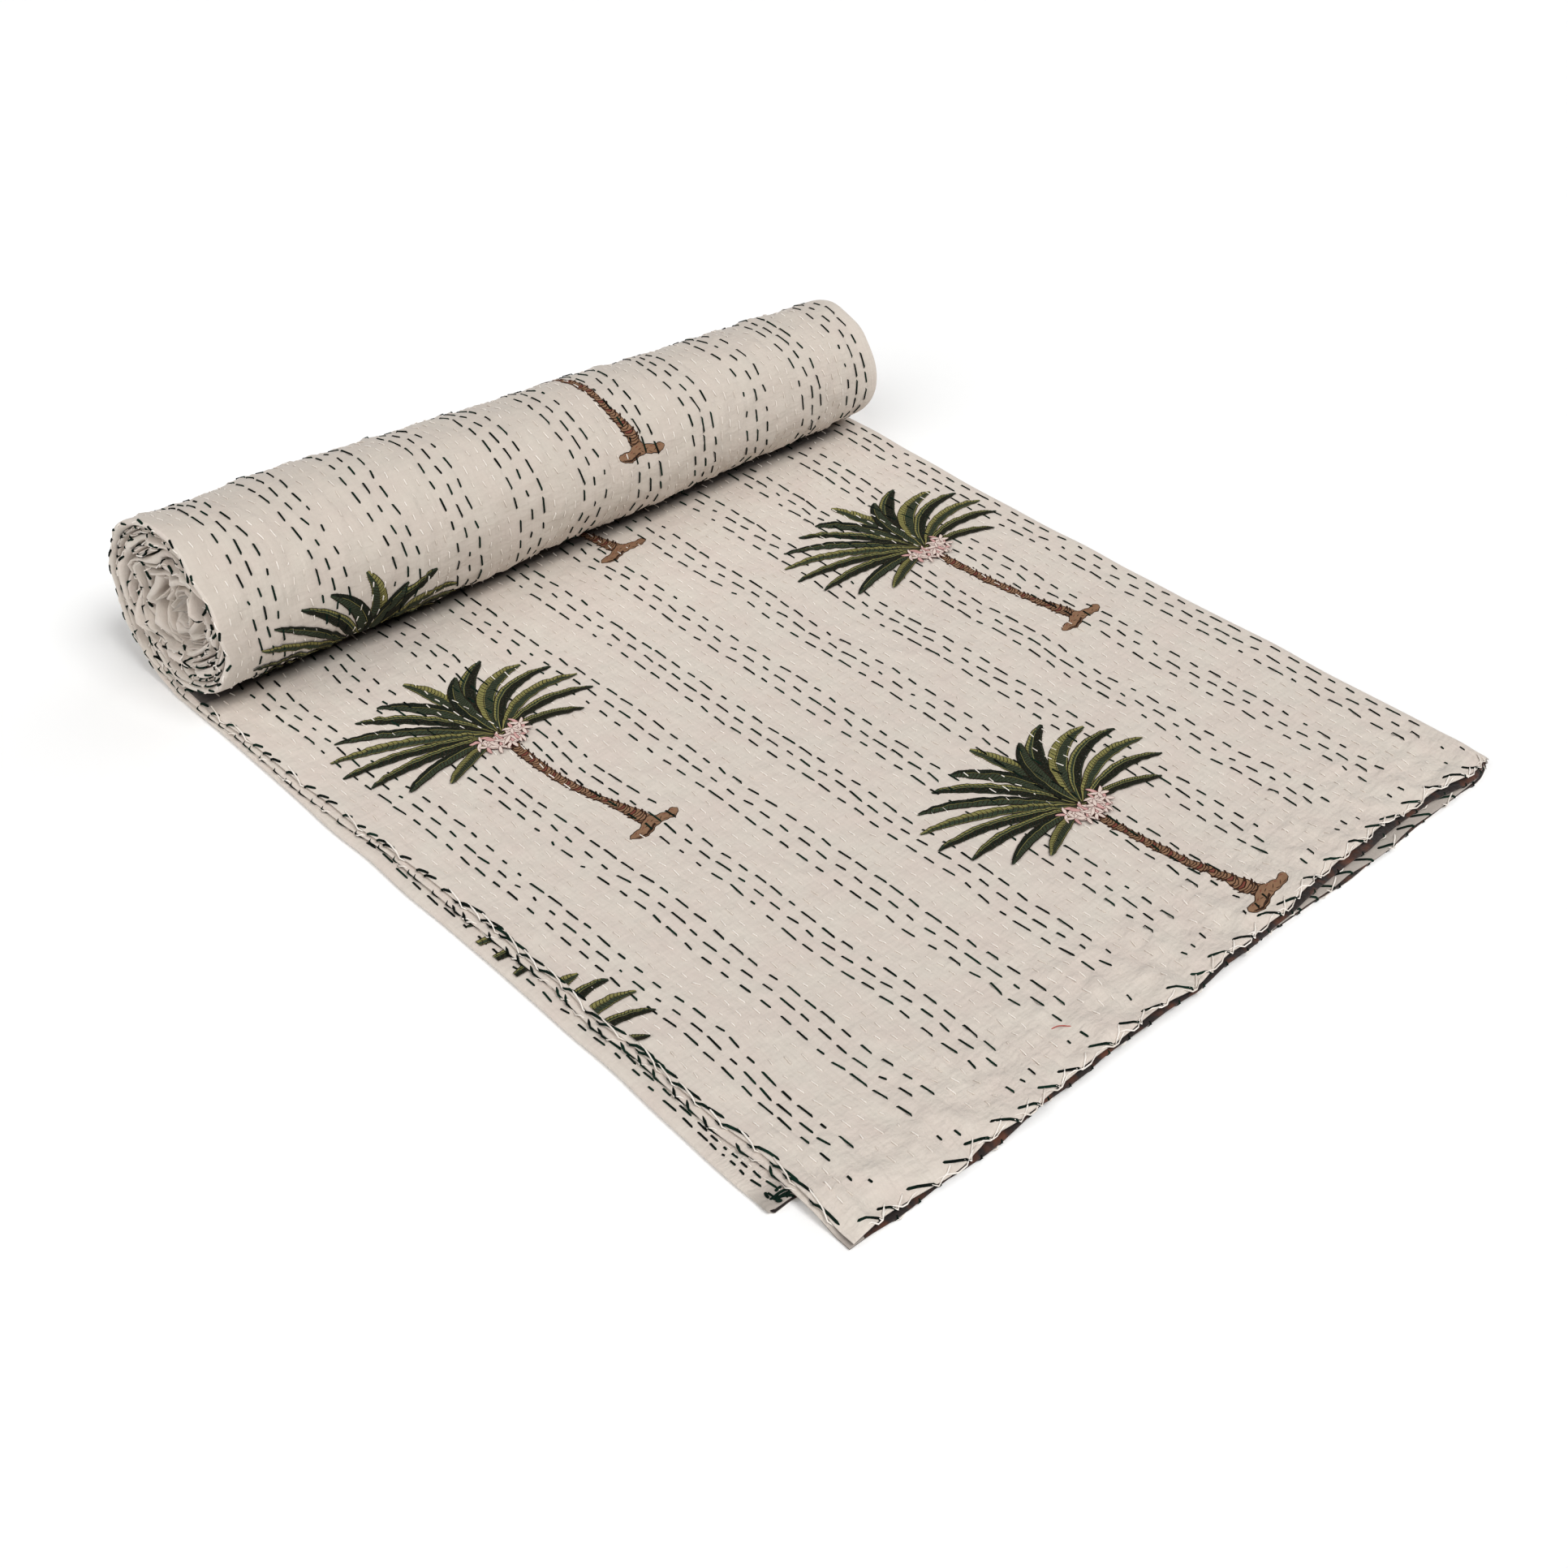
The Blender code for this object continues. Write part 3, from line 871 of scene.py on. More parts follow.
def dash_paths(cloth, layer, lines, colour, stitch, row_of, seed):
    draw = np.random.default_rng(seed)
    x, s = [], []
    for line in lines:
        if line.colour != colour:
            continue
        for start, end in line.dashes:
            slant = draw.normal(0.0, 0.00035, 2)
            x.append(line.x + slant[0] + (slant[1] - slant[0]) * DASH_STATIONS)
            s.append(start + (end - start) * DASH_STATIONS)
    x, s = np.array(x), np.array(s)
    lift = 0.00008 + stitch.half_height * DASH_LIFTS[None, :] + 0.0 * x
    return straightened(*cloth.place(0, cloth.column_at(layer, x), row_of(x, s), lift))


def straightened(points, normals):
    """Dashes drawn straight between their ends, as high as the highest spot beneath them."""
    chord = points[:, :1] + (points[:, -1:] - points[:, :1]) * DASH_STATIONS[None, :, None]
    up = normals[:, 2:3]
    rise = ((points - chord) * up).sum(axis=-1, keepdims=True)
    rise[:, 1:-1] = rise[:, 1:-1].max(axis=1, keepdims=True)
    return chord + rise * up, normals


def flat_row(x, y):
    """The row of a place on the flat stretch, from its distance to the near hem."""
    return np.clip(y / curve(PACK, "axis", x), 0.0, 1.0)


def roll_row(x, arc):
    return 1.0 + np.clip(turns_at(x, arc), 0.0, OUTER_TURNS)


def build_running_stitches(cloth, name, colour, material, stitch, sides):
    """Every dash of one thread colour, as one mesh."""
    strips = sew([(0.0040, "green"), (0.0125, "green"), (0.0088, "cream")], 0.004, 0.575, 43, False)
    strips += sew([(0.0080, "green"), (0.0158, "green")], 0.005, 0.20, 44, False)
    kinds = (
        (3, TOP_STITCHES, flat_row, 51),
        (0, ROLL_STITCHES, roll_row, 52),
        (1, strips, flat_row, 53),
    )
    groups = [dash_paths(cloth, layer, lines, colour, stitch, *more) for layer, lines, *more in kinds]
    paths = tuple(np.concatenate(part) for part in zip(*groups))
    return build_threads(name, material, [paths], (stitch.half_width, stitch.half_height), sides)


# ---------------------------------------------------------------- hem stitches
Hem = namedtuple("Hem", "layer kind start end")
NEAR_HEMS = (
    Hem(3, "near", 0.010, 0.558),
    Hem(2, "near", 0.018, 0.556),
    Hem(1, "near", 0.0015, 0.558),
    Hem(0, "near", 0.020, 0.556),
)
LEFT_HEMS_NEAR = (
    Hem(3, "left", 0.012, 0.300),
    Hem(2, "left", 0.040, 0.300),
)
LEFT_HEMS_FAR = (
    Hem(3, "left", 0.306, 0.575),
    Hem(2, "left", 0.300, 0.575),
)
LEFT_HEMS_ROLLED = (
    Hem(3, "left", 0.585, 1.50),
    Hem(2, "left", 0.580, 1.50),
)
# A thread's stations: distance from the hem's edge, along the hem, lift, and the side of the cloth.
Station = namedtuple("Station", "inset along lift side")
PRINTED, REVERSE, EDGE = 0, 1, 2
NEAR_GREEN = (
    Station(0.0072, 0.0000, -0.0002, PRINTED),
    Station(0.0067, 0.0010, 0.0003, PRINTED),
    Station(0.0046, 0.0048, 0.0004, PRINTED),
    Station(0.0022, 0.0092, 0.0004, PRINTED),
    Station(0.0007, 0.0118, 0.0004, PRINTED),
    Station(-0.0003, 0.0126, 0.0000, EDGE),
    Station(0.0010, 0.0130, -0.0003, REVERSE),
    Station(0.0030, 0.0134, -0.0005, REVERSE),
)
NEAR_CREAM = (
    Station(0.0012, 0.0106, 0.0008, PRINTED),
    Station(0.0001, 0.0136, 0.0006, EDGE),
    Station(0.0008, 0.0168, 0.0007, PRINTED),
    Station(0.0026, 0.0204, 0.0006, PRINTED),
    Station(0.0050, 0.0236, 0.0005, PRINTED),
    Station(0.0066, 0.0252, -0.0002, PRINTED),
)
NEAR_EDGE = (
    Station(0.0030, 0.0000, -0.0002, PRINTED),
    Station(0.0014, 0.0060, 0.0006, PRINTED),
    Station(0.0002, 0.0110, 0.0006, EDGE),
    Station(0.0001, 0.0160, 0.0006, EDGE),
    Station(0.0012, 0.0220, 0.0006, PRINTED),
    Station(0.0026, 0.0280, -0.0002, PRINTED),
)
LEFT_GREEN = (
    Station(0.0034, 0.0000, -0.0002, PRINTED),
    Station(0.0031, 0.0022, 0.0004, PRINTED),
    Station(0.0021, 0.0084, 0.0007, PRINTED),
    Station(0.0010, 0.0146, 0.0007, PRINTED),
    Station(-0.0001, 0.0192, 0.0003, EDGE),
    Station(0.0006, 0.0220, 0.0004, REVERSE),
    Station(0.0022, 0.0250, -0.0002, REVERSE),
)
LEFT_CREAM = (
    Station(0.0018, 0.0000, -0.0002, REVERSE),
    Station(0.0006, 0.0028, 0.0004, REVERSE),
    Station(-0.0002, 0.0056, 0.0004, EDGE),
    Station(0.0008, 0.0104, 0.0010, PRINTED),
    Station(0.0018, 0.0166, 0.0010, PRINTED),
    Station(0.0029, 0.0232, 0.0005, PRINTED),
    Station(0.0032, 0.0250, -0.0002, PRINTED),
)
SHORT_GREEN = (
    Station(0.0024, 0.0000, -0.0002, PRINTED),
    Station(0.0021, 0.0008, 0.0004, PRINTED),
    Station(0.0012, 0.0034, 0.0006, PRINTED),
    Station(0.0004, 0.0058, 0.0005, PRINTED),
    Station(-0.0002, 0.0068, 0.0001, EDGE),
    Station(0.0016, 0.0078, -0.0002, REVERSE),
)
SHORT_CREAM = (
    Station(0.0006, 0.0050, -0.0002, REVERSE),
    Station(-0.0002, 0.0062, 0.0004, EDGE),
    Station(0.0008, 0.0082, 0.0006, PRINTED),
    Station(0.0018, 0.0108, 0.0005, PRINTED),
    Station(0.0022, 0.0116, -0.0002, PRINTED),
)
WHIP_PITCH = 0.0212
HEM_EVENNESS = {"left": (0.55, 1.50), "near": (0.72, 1.26)}


def hem_paths(cloth, hems, stations, pitch, seed):
    """The thread over each hem, one path for each stitch."""
    draw = np.random.default_rng(seed)
    paths = []
    for hem in hems:
        at = hem.start
        while at < hem.end:
            step = pitch * draw.uniform(*HEM_EVENNESS[hem.kind])
            size, stretch = draw.uniform(0.62, 1.06), draw.uniform(0.78, 1.10)
            paths.append(hem_path(cloth, hem, stations, at, size, stretch))
            at += step
    return stacked(paths)


def hem_spot(cloth, hem, inset, along):
    """The column and row of places by their distance from a hem's edge and along it."""
    if hem.kind == "near":
        return cloth.column_at(hem.layer, along), inset / MIDDLE_ALONG
    turns = turns_at(0.05, np.maximum(along - MIDDLE_ALONG, 0.0))
    row = np.where(along < MIDDLE_ALONG, along / MIDDLE_ALONG, 1.0 + np.minimum(turns, TURNS))
    return cloth.column_at(hem.layer, inset), row


def hem_path(cloth, hem, stations, at, size, stretch):
    """One thread's points over a hem, and the directions away from the cloth there."""
    inset, along, lift, side = np.array(stations).T
    along = at + along * stretch
    inner = np.maximum(inset * size, 0.0)
    spot = hem_spot(cloth, hem, inner, along)
    deeper = hem_spot(cloth, hem, inner + 0.003, along)
    printed, up = cloth.place(0, *spot, lift)
    reverse, down = cloth.place(1, *spot, lift)
    middle = (printed + reverse) / 2
    outward = middle - (cloth.place(0, *deeper)[0] + cloth.place(1, *deeper)[0]) / 2
    outward /= np.linalg.norm(outward, axis=-1, keepdims=True)
    edge = middle + outward * (0.0004 + np.maximum(lift, 0.0))[:, None]
    on = [side[:, None] == PRINTED, side[:, None] == REVERSE]
    return np.select(on, [printed, reverse], edge), np.select(on, [up, down], outward)


def corner_loops(cloth):
    """Loops of green thread, bundled at the near left corner of the lower pair of layers."""
    t = np.linspace(0.0, 1.0, 9)
    paths = []
    for loop in CORNER_LOOPS:
        angle = math.radians(loop.start) + math.radians(loop.sweep) * t
        way = math.radians(loop.turn)
        out, over = loop.length * np.cos(angle), loop.width * np.sin(angle)
        x = np.maximum(loop.x + out * math.cos(way) - over * math.sin(way), 0.0)
        y = np.maximum(loop.y + out * math.sin(way) + over * math.cos(way), 0.0)
        lift = np.where((t > 0.0) & (t < 1.0), loop.lift, -0.0002)
        paths.append(cloth.place(0, cloth.column_at(1, x), flat_row(x, y), lift))
    return stacked(paths)


GREEN_SEWN = (
    (NEAR_HEMS, NEAR_GREEN, WHIP_PITCH, 71),
    (LEFT_HEMS_NEAR, LEFT_GREEN, 0.0148, 72),
    (LEFT_HEMS_FAR, SHORT_GREEN, 0.0120, 74),
    (LEFT_HEMS_ROLLED, SHORT_GREEN, 0.0135, 75),
)
CREAM_SEWN = (
    (NEAR_HEMS[:1], NEAR_CREAM, WHIP_PITCH, 71),
    (NEAR_HEMS[:1], NEAR_EDGE, 0.0240, 73),
    (NEAR_HEMS[1:], NEAR_CREAM, 0.0600, 79),
    (LEFT_HEMS_NEAR, LEFT_CREAM, 0.0215, 76),
    (LEFT_HEMS_FAR, LEFT_CREAM, 0.0420, 77),
    (LEFT_HEMS_ROLLED, SHORT_CREAM, 0.0160, 78),
)
Loop = namedtuple("Loop", "x y length width turn start sweep lift")
CORNER_LOOPS = (  # places across and along the lower pair, angles in degrees
    Loop(0.0078, 0.0036, 0.0050, 0.0017, -6, 184, -176, 0.0008),
    Loop(0.0084, 0.0020, 0.0042, 0.0011, -8, 190, -190, 0.0006),
    Loop(0.0046, 0.0024, 0.0015, 0.0011, 10, 40, 270, 0.0009),
    Loop(0.0028, 0.0092, 0.0024, 0.0007, 74, 20, 140, 0.0005),
    Loop(0.0088, 0.0082, 0.0017, 0.0003, 8, 0, 180, 0.0005),
    Loop(0.0104, 0.0014, 0.0024, 0.0008, 24, 150, -200, 0.0011),
)
# A thread over the left fold: its share of the way over, place along the fold, and lift.
FoldStation = namedtuple("FoldStation", "share along lift")
FOLD_GREEN = (
    FoldStation(0.28, 0.0000, -0.0004),
    FoldStation(0.30, 0.0010, 0.0002),
    FoldStation(0.38, 0.0040, 0.0003),
    FoldStation(0.47, 0.0070, 0.0002),
    FoldStation(0.50, 0.0080, -0.0004),
)
FOLD_CREAM = (
    FoldStation(0.50, 0.0006, -0.0004),
    FoldStation(0.48, 0.0014, 0.0002),
    FoldStation(0.42, 0.0036, 0.0003),
    FoldStation(0.36, 0.0058, 0.0002),
    FoldStation(0.34, 0.0066, -0.0004),
)
FOLD_END = 0.72  # how far along the roll's outer side the threads over the fold reach


def fold_paths(cloth, stations, start, pitch, seed):
    """Threads over the left fold of the lower pair, where it shows at the roll's end."""
    draw = np.random.default_rng(seed)
    fold = [i for i, column in enumerate(cloth.columns) if column.part == "left"]
    share, along, lift = np.array(stations).T
    paths = []
    at = start
    while at < FOLD_END:
        column = fold[0] - 1 + (len(fold) + 1) * (share + draw.uniform(-0.14, 0.16))
        row = 1.0 + turns_at(0.0, at + along * draw.uniform(0.75, 1.15))
        paths.append(cloth.place(0, column, row, lift))
        at += pitch * draw.uniform(0.7, 1.3)
    return stacked(paths)


def pink_end(cloth):
    """One loose end of pink-red thread near the near hem."""
    t = np.linspace(0.0, 1.0, 14)
    bow = np.sin(math.pi * t)
    x = 0.184 + 0.0084 * t
    y = 0.0292 - 0.0056 * t + 0.0012 * bow
    centres, normals = cloth.place(0, cloth.column_at(3, x), flat_row(x, y), 0.0002 + 0.0009 * bow**2)
    return centres[None], normals[None]


# ================================================================ the palm print
Frond = namedtuple("Frond", "start bend length width ink")
FRONDS = (  # from the back of the fan to its front: angle at the root, turn to the tip, in degrees
    Frond(92, 20, 0.084, 0.0128, "olive"),
    Frond(69, -38, 0.088, 0.0122, "green"),
    Frond(109, 34, 0.087, 0.0118, "green_deep"),
    Frond(124, 27, 0.094, 0.0096, "green"),
    Frond(52, -46, 0.087, 0.0116, "olive"),
    Frond(82, -30, 0.072, 0.0114, "green_deep"),
    Frond(138, 22, 0.104, 0.0080, "green_deep"),
    Frond(37, -42, 0.088, 0.0090, "green"),
    Frond(149, 20, 0.108, 0.0076, "olive"),
    Frond(22, -36, 0.086, 0.0084, "olive"),
    Frond(159, 18, 0.105, 0.0076, "green"),
    Frond(8, -30, 0.080, 0.0078, "green"),
    Frond(169, 18, 0.093, 0.0078, "green"),
    Frond(181, 20, 0.078, 0.0078, "green_deep"),
    Frond(195, 16, 0.056, 0.0080, "olive"),
    Frond(-8, -22, 0.060, 0.0070, "green"),
)
FOOT = (0.016, -0.122)
FIRST_LIFT = 0.00005
LEVEL_LIFT = 0.000014
LEVEL_CELL = 0.0005
CORNER_GRID = 4e5  # corners of ink that round to the same whole numbers times this are one
FLAT_TOP = 0.013  # the flat stretch is lower than this


class Print:
    """Flat strips of ink in the palm's own coordinates, in metres. Each coat lies over those before it
    that it touches, and no higher than it needs to."""

    def __init__(self):
        self.quads = []  # (ink, level, four corners)
        self.heights = {}  # how many coats each small cell has so far

    def coat(self, ink, *strips):
        """One coat of an ink: strips that are each given by their two long edges."""
        strips = [(np.asarray(a, float), np.asarray(b, float)) for a, b in strips]
        shares = np.linspace(0.0, 1.0, 9)[:, None, None]
        cells = set()
        for one, other in strips:
            for step in np.linspace(0.0, 1.0, 7)[:-1]:
                a = one[:-1] + (one[1:] - one[:-1]) * step
                b = other[:-1] + (other[1:] - other[:-1]) * step
                spots = (a[None] + (b - a)[None] * shares).reshape(-1, 2)
                cells |= set(map(tuple, np.floor(spots / LEVEL_CELL).astype(int).tolist()))
        level = 1 + max(self.heights.get(cell, 0) for cell in cells)
        for cell in cells:
            self.heights[cell] = level
        for one, other in strips:
            for i in range(len(one) - 1):
                self.quads.append((ink, level, (one[i], one[i + 1], other[i + 1], other[i])))

    def blade(self, centre, half_left, half_right, ink):
        """A coat about a centre line, with its own width on each side."""
        aside = across_line(centre)
        self.coat(ink, (centre + aside * half_left[:, None], centre - aside * half_right[:, None]))


def across_line(line):
    """Unit directions to the left of a line of points."""
    way = np.gradient(line, axis=0)
    way /= np.linalg.norm(way, axis=1, keepdims=True)
    return np.stack([-way[:, 1], way[:, 0]], axis=1)


def read_at(share, t, table):
    """A point or direction between the rows of a table of them, which are at the shares t."""
    return np.array([np.interp(share, t, table[:, i]) for i in (0, 1)])


def frond_line(frond, steps):
    """The middle of a frond, and the share of its length at each point."""
    t = np.linspace(0.0, 1.0, steps)
    angles = np.radians(frond.start + frond.bend * 1.9 * (t**1.4 - 0.28))
    piece = frond.length / (steps - 1)
    middle = (angles[1:] + angles[:-1]) / 2
    moves = np.stack([np.cos(middle), np.sin(middle)], axis=1) * piece
    return t, np.concatenate([[[0.0, 0.0]], np.cumsum(moves, axis=0)])


def draw_frond(ink_print, frond):
    """A curved leaf: dark rim, body, a shaded half, leaflets as fine strokes, and a vein."""
    t, line = frond_line(frond, 20)
    body = np.sin(math.pi * np.clip((t - 0.10) / 0.92, 0.0, 1.0) ** 0.98) ** 0.66
    stem = 0.0008 * (1.0 - smooth((t - 0.1) / 0.3))
    falls_left = frond.bend > 0
    wide, slim = frond.width * 0.60 * body + stem, frond.width * 0.36 * body + stem
    left, right = (wide, slim) if falls_left else (slim, wide)
    tip = np.minimum(1.0, (1.0 - t) / 0.05 + 0.15)
    rim = 0.00045 * tip
    dark = frond.ink != "olive"
    ink_print.blade(line, left + rim, right + rim, "outline")
    ink_print.blade(line, left, right, frond.ink)
    shade = "green_deep" if frond.ink == "green" else "green"
    if falls_left:
        ink_print.blade(line, left * 0.92, left * -0.10, shade)
    else:
        ink_print.blade(line, right * -0.10, right * 0.92, shade)
    if frond.ink == "green":
        lit = (right * -0.52, right * 0.94) if falls_left else (left * 0.94, left * -0.52)
        ink_print.blade(line[3:-1], lit[0][3:-1], lit[1][3:-1], "olive")
    outer, inner, sign = (left, right, 1.0) if falls_left else (right, left, -1.0)
    draw_leaflets(ink_print, t, line, inner, -sign, "green_deep")
    draw_leaflets(ink_print, t, line, outer, sign, "outline")
    vein = 0.00026 * (1.0 - 0.6 * t)
    ink_print.blade(line[:-2], vein[:-2], vein[:-2], "olive" if dark else "outline")


def draw_leaflets(ink_print, t, line, widths, sign, ink):
    """Short tapering strokes from the vein to one side of it, slanting towards the tip."""
    aside = across_line(line)
    way = np.stack([aside[:, 1], -aside[:, 0]], axis=1)
    strokes = []
    for share in np.arange(0.16, 0.96, 0.030):
        base, forward, across = (read_at(share, t, table) for table in (line, way, aside))
        reach = float(np.interp(share, t, widths)) + 0.0006
        if reach < 0.0016:
            continue
        tip = base + across * sign * reach + forward * reach * 0.65
        middle = (base + tip) / 2 - forward * reach * 0.05
        thick = forward * 0.00028
        sides = ([base + far, middle + far, tip + 0.3 * far] for far in (-thick, thick))
        strokes.append(tuple(sides))
    ink_print.coat(ink, *strokes)


def draw_trunk(ink_print):
    """A leaning trunk of ragged overlapping scales."""
    steps = 26
    t = np.linspace(0.0, 1.0, steps)
    line = np.stack([FOOT[0] * t**1.35, -0.006 + (FOOT[1] + 0.006) * t], axis=1)
    half = 0.0033 - 0.0006 * np.sin(math.pi * t) + 0.0016 * smooth((t - 0.7) / 0.3)
    ink_print.blade(line, half + 0.0006, half + 0.0006, "bark_dark")
    ink_print.blade(line, half, half, "bark")
    scales = 30
    for number in range(scales):
        share = (number + 0.5) / scales
        centre = read_at(share, t, line)
        wide = float(np.interp(share, t, half))
        down = np.array([0.13 * share, -1.0])
        down /= np.linalg.norm(down)
        aside = np.array([-down[1], down[0]])
        across = np.linspace(-1.0, 1.0, 5)[:, None]
        tilt = 0.0009 * math.sin(number * 2.3)
        spread = wide + 0.0014 + 0.0006 * math.sin(number * 1.7)
        upper = centre + aside * across * spread - down * (0.0020 * across**2 + tilt * across)
        lower = upper + down * (0.0017 * (1.0 - across**2) + 0.0004)
        ink_print.coat("bark_dark", (upper - down * 0.0004, lower + down * 0.0005))
        ink = ("bark", "rust", "bark", "bark", "rust")[number % 5]
        ink_print.coat(ink, (upper[1:4] + down * 0.0003, lower[1:4] - down * 0.0003))


def draw_mound(ink_print):
    """A low clump of soil in two uneven lobes, with strokes for roots and stones."""
    across = np.linspace(-1.0, 1.0, 21)
    end = np.sqrt(np.maximum(1.0 - np.abs(across) ** 3.0, 0.0))
    lobes = 0.0034 + 0.0016 * np.cos(across * 5.6) + 0.0022 * (1 - np.abs(across))
    lobes = lobes + 0.0005 * np.sin(across * 17.0)
    under = 0.0036 + 0.0016 * np.cos(across * 4.4 + 2.6) + 0.0004 * np.sin(across * 21.0)
    x = FOOT[0] + 0.001 + across * 0.0210
    middle = FOOT[1] - 0.003 + 0.0018 * across
    top = np.stack([x, middle + lobes * end], axis=1)
    low = np.stack([x, middle - under * end], axis=1)
    rim = np.array([0.0, 0.0005])
    ink_print.coat("bark_dark", (top + rim, low - rim))
    ink_print.coat("bark", (top - 0.3 * rim, low + 0.3 * rim))
    ink_print.coat("bark_dark", (top[2:11] * 0.24 + low[2:11] * 0.76, low[2:11] + rim))
    strokes = {"bark_dark": [], "rust": []}
    for number in range(17):
        i = 2 + number
        height = 0.22 + 0.28 * (number * 2 % 3)
        spot = top[i] * height + low[i] * (1.0 - height)
        way = np.array([0.0019, 0.0012 * math.sin(number * 1.9)])
        thick = np.array([0.0, 0.00034])
        ink = "rust" if number % 3 == 1 else "bark_dark"
        sides = ([spot - way, spot + rise, spot + way] for rise in (thick, -thick))
        strokes[ink].append(tuple(sides))
    for ink, group in strokes.items():
        ink_print.coat(ink, *group)


def draw_cluster(ink_print):
    """Pale flowers that hang in two tiers where the fronds meet the trunk, outlined finely."""
    draw = np.random.default_rng(61)
    flowers = 13
    for number in range(flowers):
        angle = math.radians(172 + 196 * number / (flowers - 1))
        reach = 0.0150 if number % 2 == 0 else 0.0075
        spot = np.array([reach * math.cos(angle), reach * math.sin(angle) * 0.70 - 0.0005])
        turn = draw.uniform(0.0, 360.0)
        for petal in range(5):
            way = math.radians(turn + 72 * petal + draw.uniform(-12, 12))
            length = 0.0066 * draw.uniform(0.80, 1.20)
            t = np.linspace(0.0, 1.0, 5)
            bend = draw.uniform(-0.4, 0.4)
            direction = np.stack([np.cos(way + bend * t), np.sin(way + bend * t)], axis=1)
            line = spot + direction * (0.0004 + length * t)[:, None]
            half = 0.00105 * np.sin(math.pi * (0.10 + 0.86 * t)) ** 0.8
            ink_print.blade(line, half + 0.00030, half + 0.00030, "petal_line")
            ink_print.blade(line, half, half, "petal_pink" if petal == number % 5 else "petal")


def draw_palm():
    """One palm of the repeat: a fan of fronds, a leaning trunk of scales, a low mound, pale flowers."""
    ink_print = Print()
    draw_trunk(ink_print)
    draw_mound(ink_print)
    for frond in FRONDS:
        draw_frond(ink_print, frond)
    draw_cluster(ink_print)
    return ink_print


# Where palms are printed: the layer, x and distance along of the flower cluster, which way along is up,
# and the stretch that shows. On the roll's outer side they stand crown up at its front.
Palm = namedtuple("Palm", "layer x along up x_low x_high low high")
TOP_STRETCH = {"x_low": 0.004, "x_high": 0.562, "low": 0.003, "high": 0.577}
ROLL_STRETCH = {"x_low": 0.002, "x_high": 0.562, "low": 0.004, "high": 0.372}
PALMS = (
    Palm(3, 0.120, 0.423, 1, **TOP_STRETCH),
    Palm(3, 0.343, 0.139, 1, **TOP_STRETCH),
    Palm(3, 0.478, 0.394, 1, **TOP_STRETCH),
    Palm(3, 0.300, 0.655, 1, **TOP_STRETCH),
    Palm(3, -0.046, 0.180, 1, **dict(TOP_STRETCH, x_low=0.0024)),
    Palm(1, 0.086, 0.245, 1, **dict(TOP_STRETCH, x_low=-0.001, x_high=0.029)),
    Palm(0, 0.320, 0.114, -1, **ROLL_STRETCH),
    Palm(0, 0.118, 0.356, -1, **ROLL_STRETCH),
)


def cut(polygon, axis, place):
    """The parts of a convex polygon on the two sides of a line where one coordinate has one value."""
    low, high = [], []
    for a, b in zip(polygon, polygon[1:] + polygon[:1]):
        if a[axis] <= place:
            low.append(a)
        if a[axis] >= place:
            high.append(a)
        if (a[axis] - place) * (b[axis] - place) < 0.0:
            t = (place - a[axis]) / (b[axis] - a[axis])
            crossing = tuple(p + (q - p) * t for p, q in zip(a, b))
            low.append(crossing)
            high.append(crossing)
    return low, high


def cut_on_lattice(polygon, lines):
    """A polygon's parts in each cell of the cloth, so that all ink follows the cloth's own faces."""
    parts = [polygon]
    for axis in (0, 1):
        done = []
        for part in parts:
            values = [point[axis] for point in part]
            first = np.searchsorted(lines[axis], min(values) + 1e-7)
            last = np.searchsorted(lines[axis], max(values) - 1e-7)
            for place in lines[axis][first:last]:
                low, part = cut(part, axis, float(place))
                done.append(low)
            done.append(part)
        parts = [part for part in done if len(part) > 2]
    return parts


def cut_to_stretch(corners, palm):
    """What is left of a polygon, as x and the distance along, inside the stretch that shows."""
    for axis, low, high in ((0, palm.x_low, palm.x_high), (1, palm.low, palm.high)):
        values = [corner[axis] for corner in corners]
        if not corners or max(values) <= low or min(values) >= high:
            return []
        if min(values) < low:
            corners = cut(corners, axis, low)[1]
        if max(values) > high:
            corners = cut(corners, axis, high)[0]
    return corners


def print_palm(cloth, palm, ink_print):
    """The ink of one palm on its layer, in pieces of (ink, level, corners). A corner is its column, its
    row number, the difference of these, x and the row w."""
    lines = (np.sort(cloth.x[cloth.layer == palm.layer]), cloth.rows)
    row_of = roll_row if palm.layer == 0 else flat_row
    coats, corners, counts = [], [], []
    for ink, level, quad in ink_print.quads:
        spots = np.array(quad) * [1.0, palm.up] + [palm.x, palm.along]
        kept = cut_to_stretch(list(map(tuple, spots.tolist())), palm)
        if len(kept) < 3:
            continue
        x, along = np.array(kept).T
        rows = row_of(np.maximum(x, 0.0), along)
        for part in cut_on_lattice(list(zip(x.tolist(), rows.tolist())), lines):
            coats.append((ink, level))
            corners += part
            counts.append(len(part))
    x, w = np.array(corners).T
    column, number = cloth.column_at(palm.layer, np.maximum(x, 0.0)), cloth.row_number(w)
    table = np.stack([column, number, column - number, x, w], axis=1).tolist()
    pieces, start = [], 0
    for (ink, level), count in zip(coats, counts):
        part = [tuple(corner) for corner in table[start : start + count]]
        start += count
        middle = [sum(corner[i] for corner in part) / count for i in (0, 1)]
        for piece in cut(part, 2, float(math.floor(middle[0]) - math.floor(middle[1]))):
            if len(piece) > 2:
                pieces.append((ink, level, piece))
    return pieces


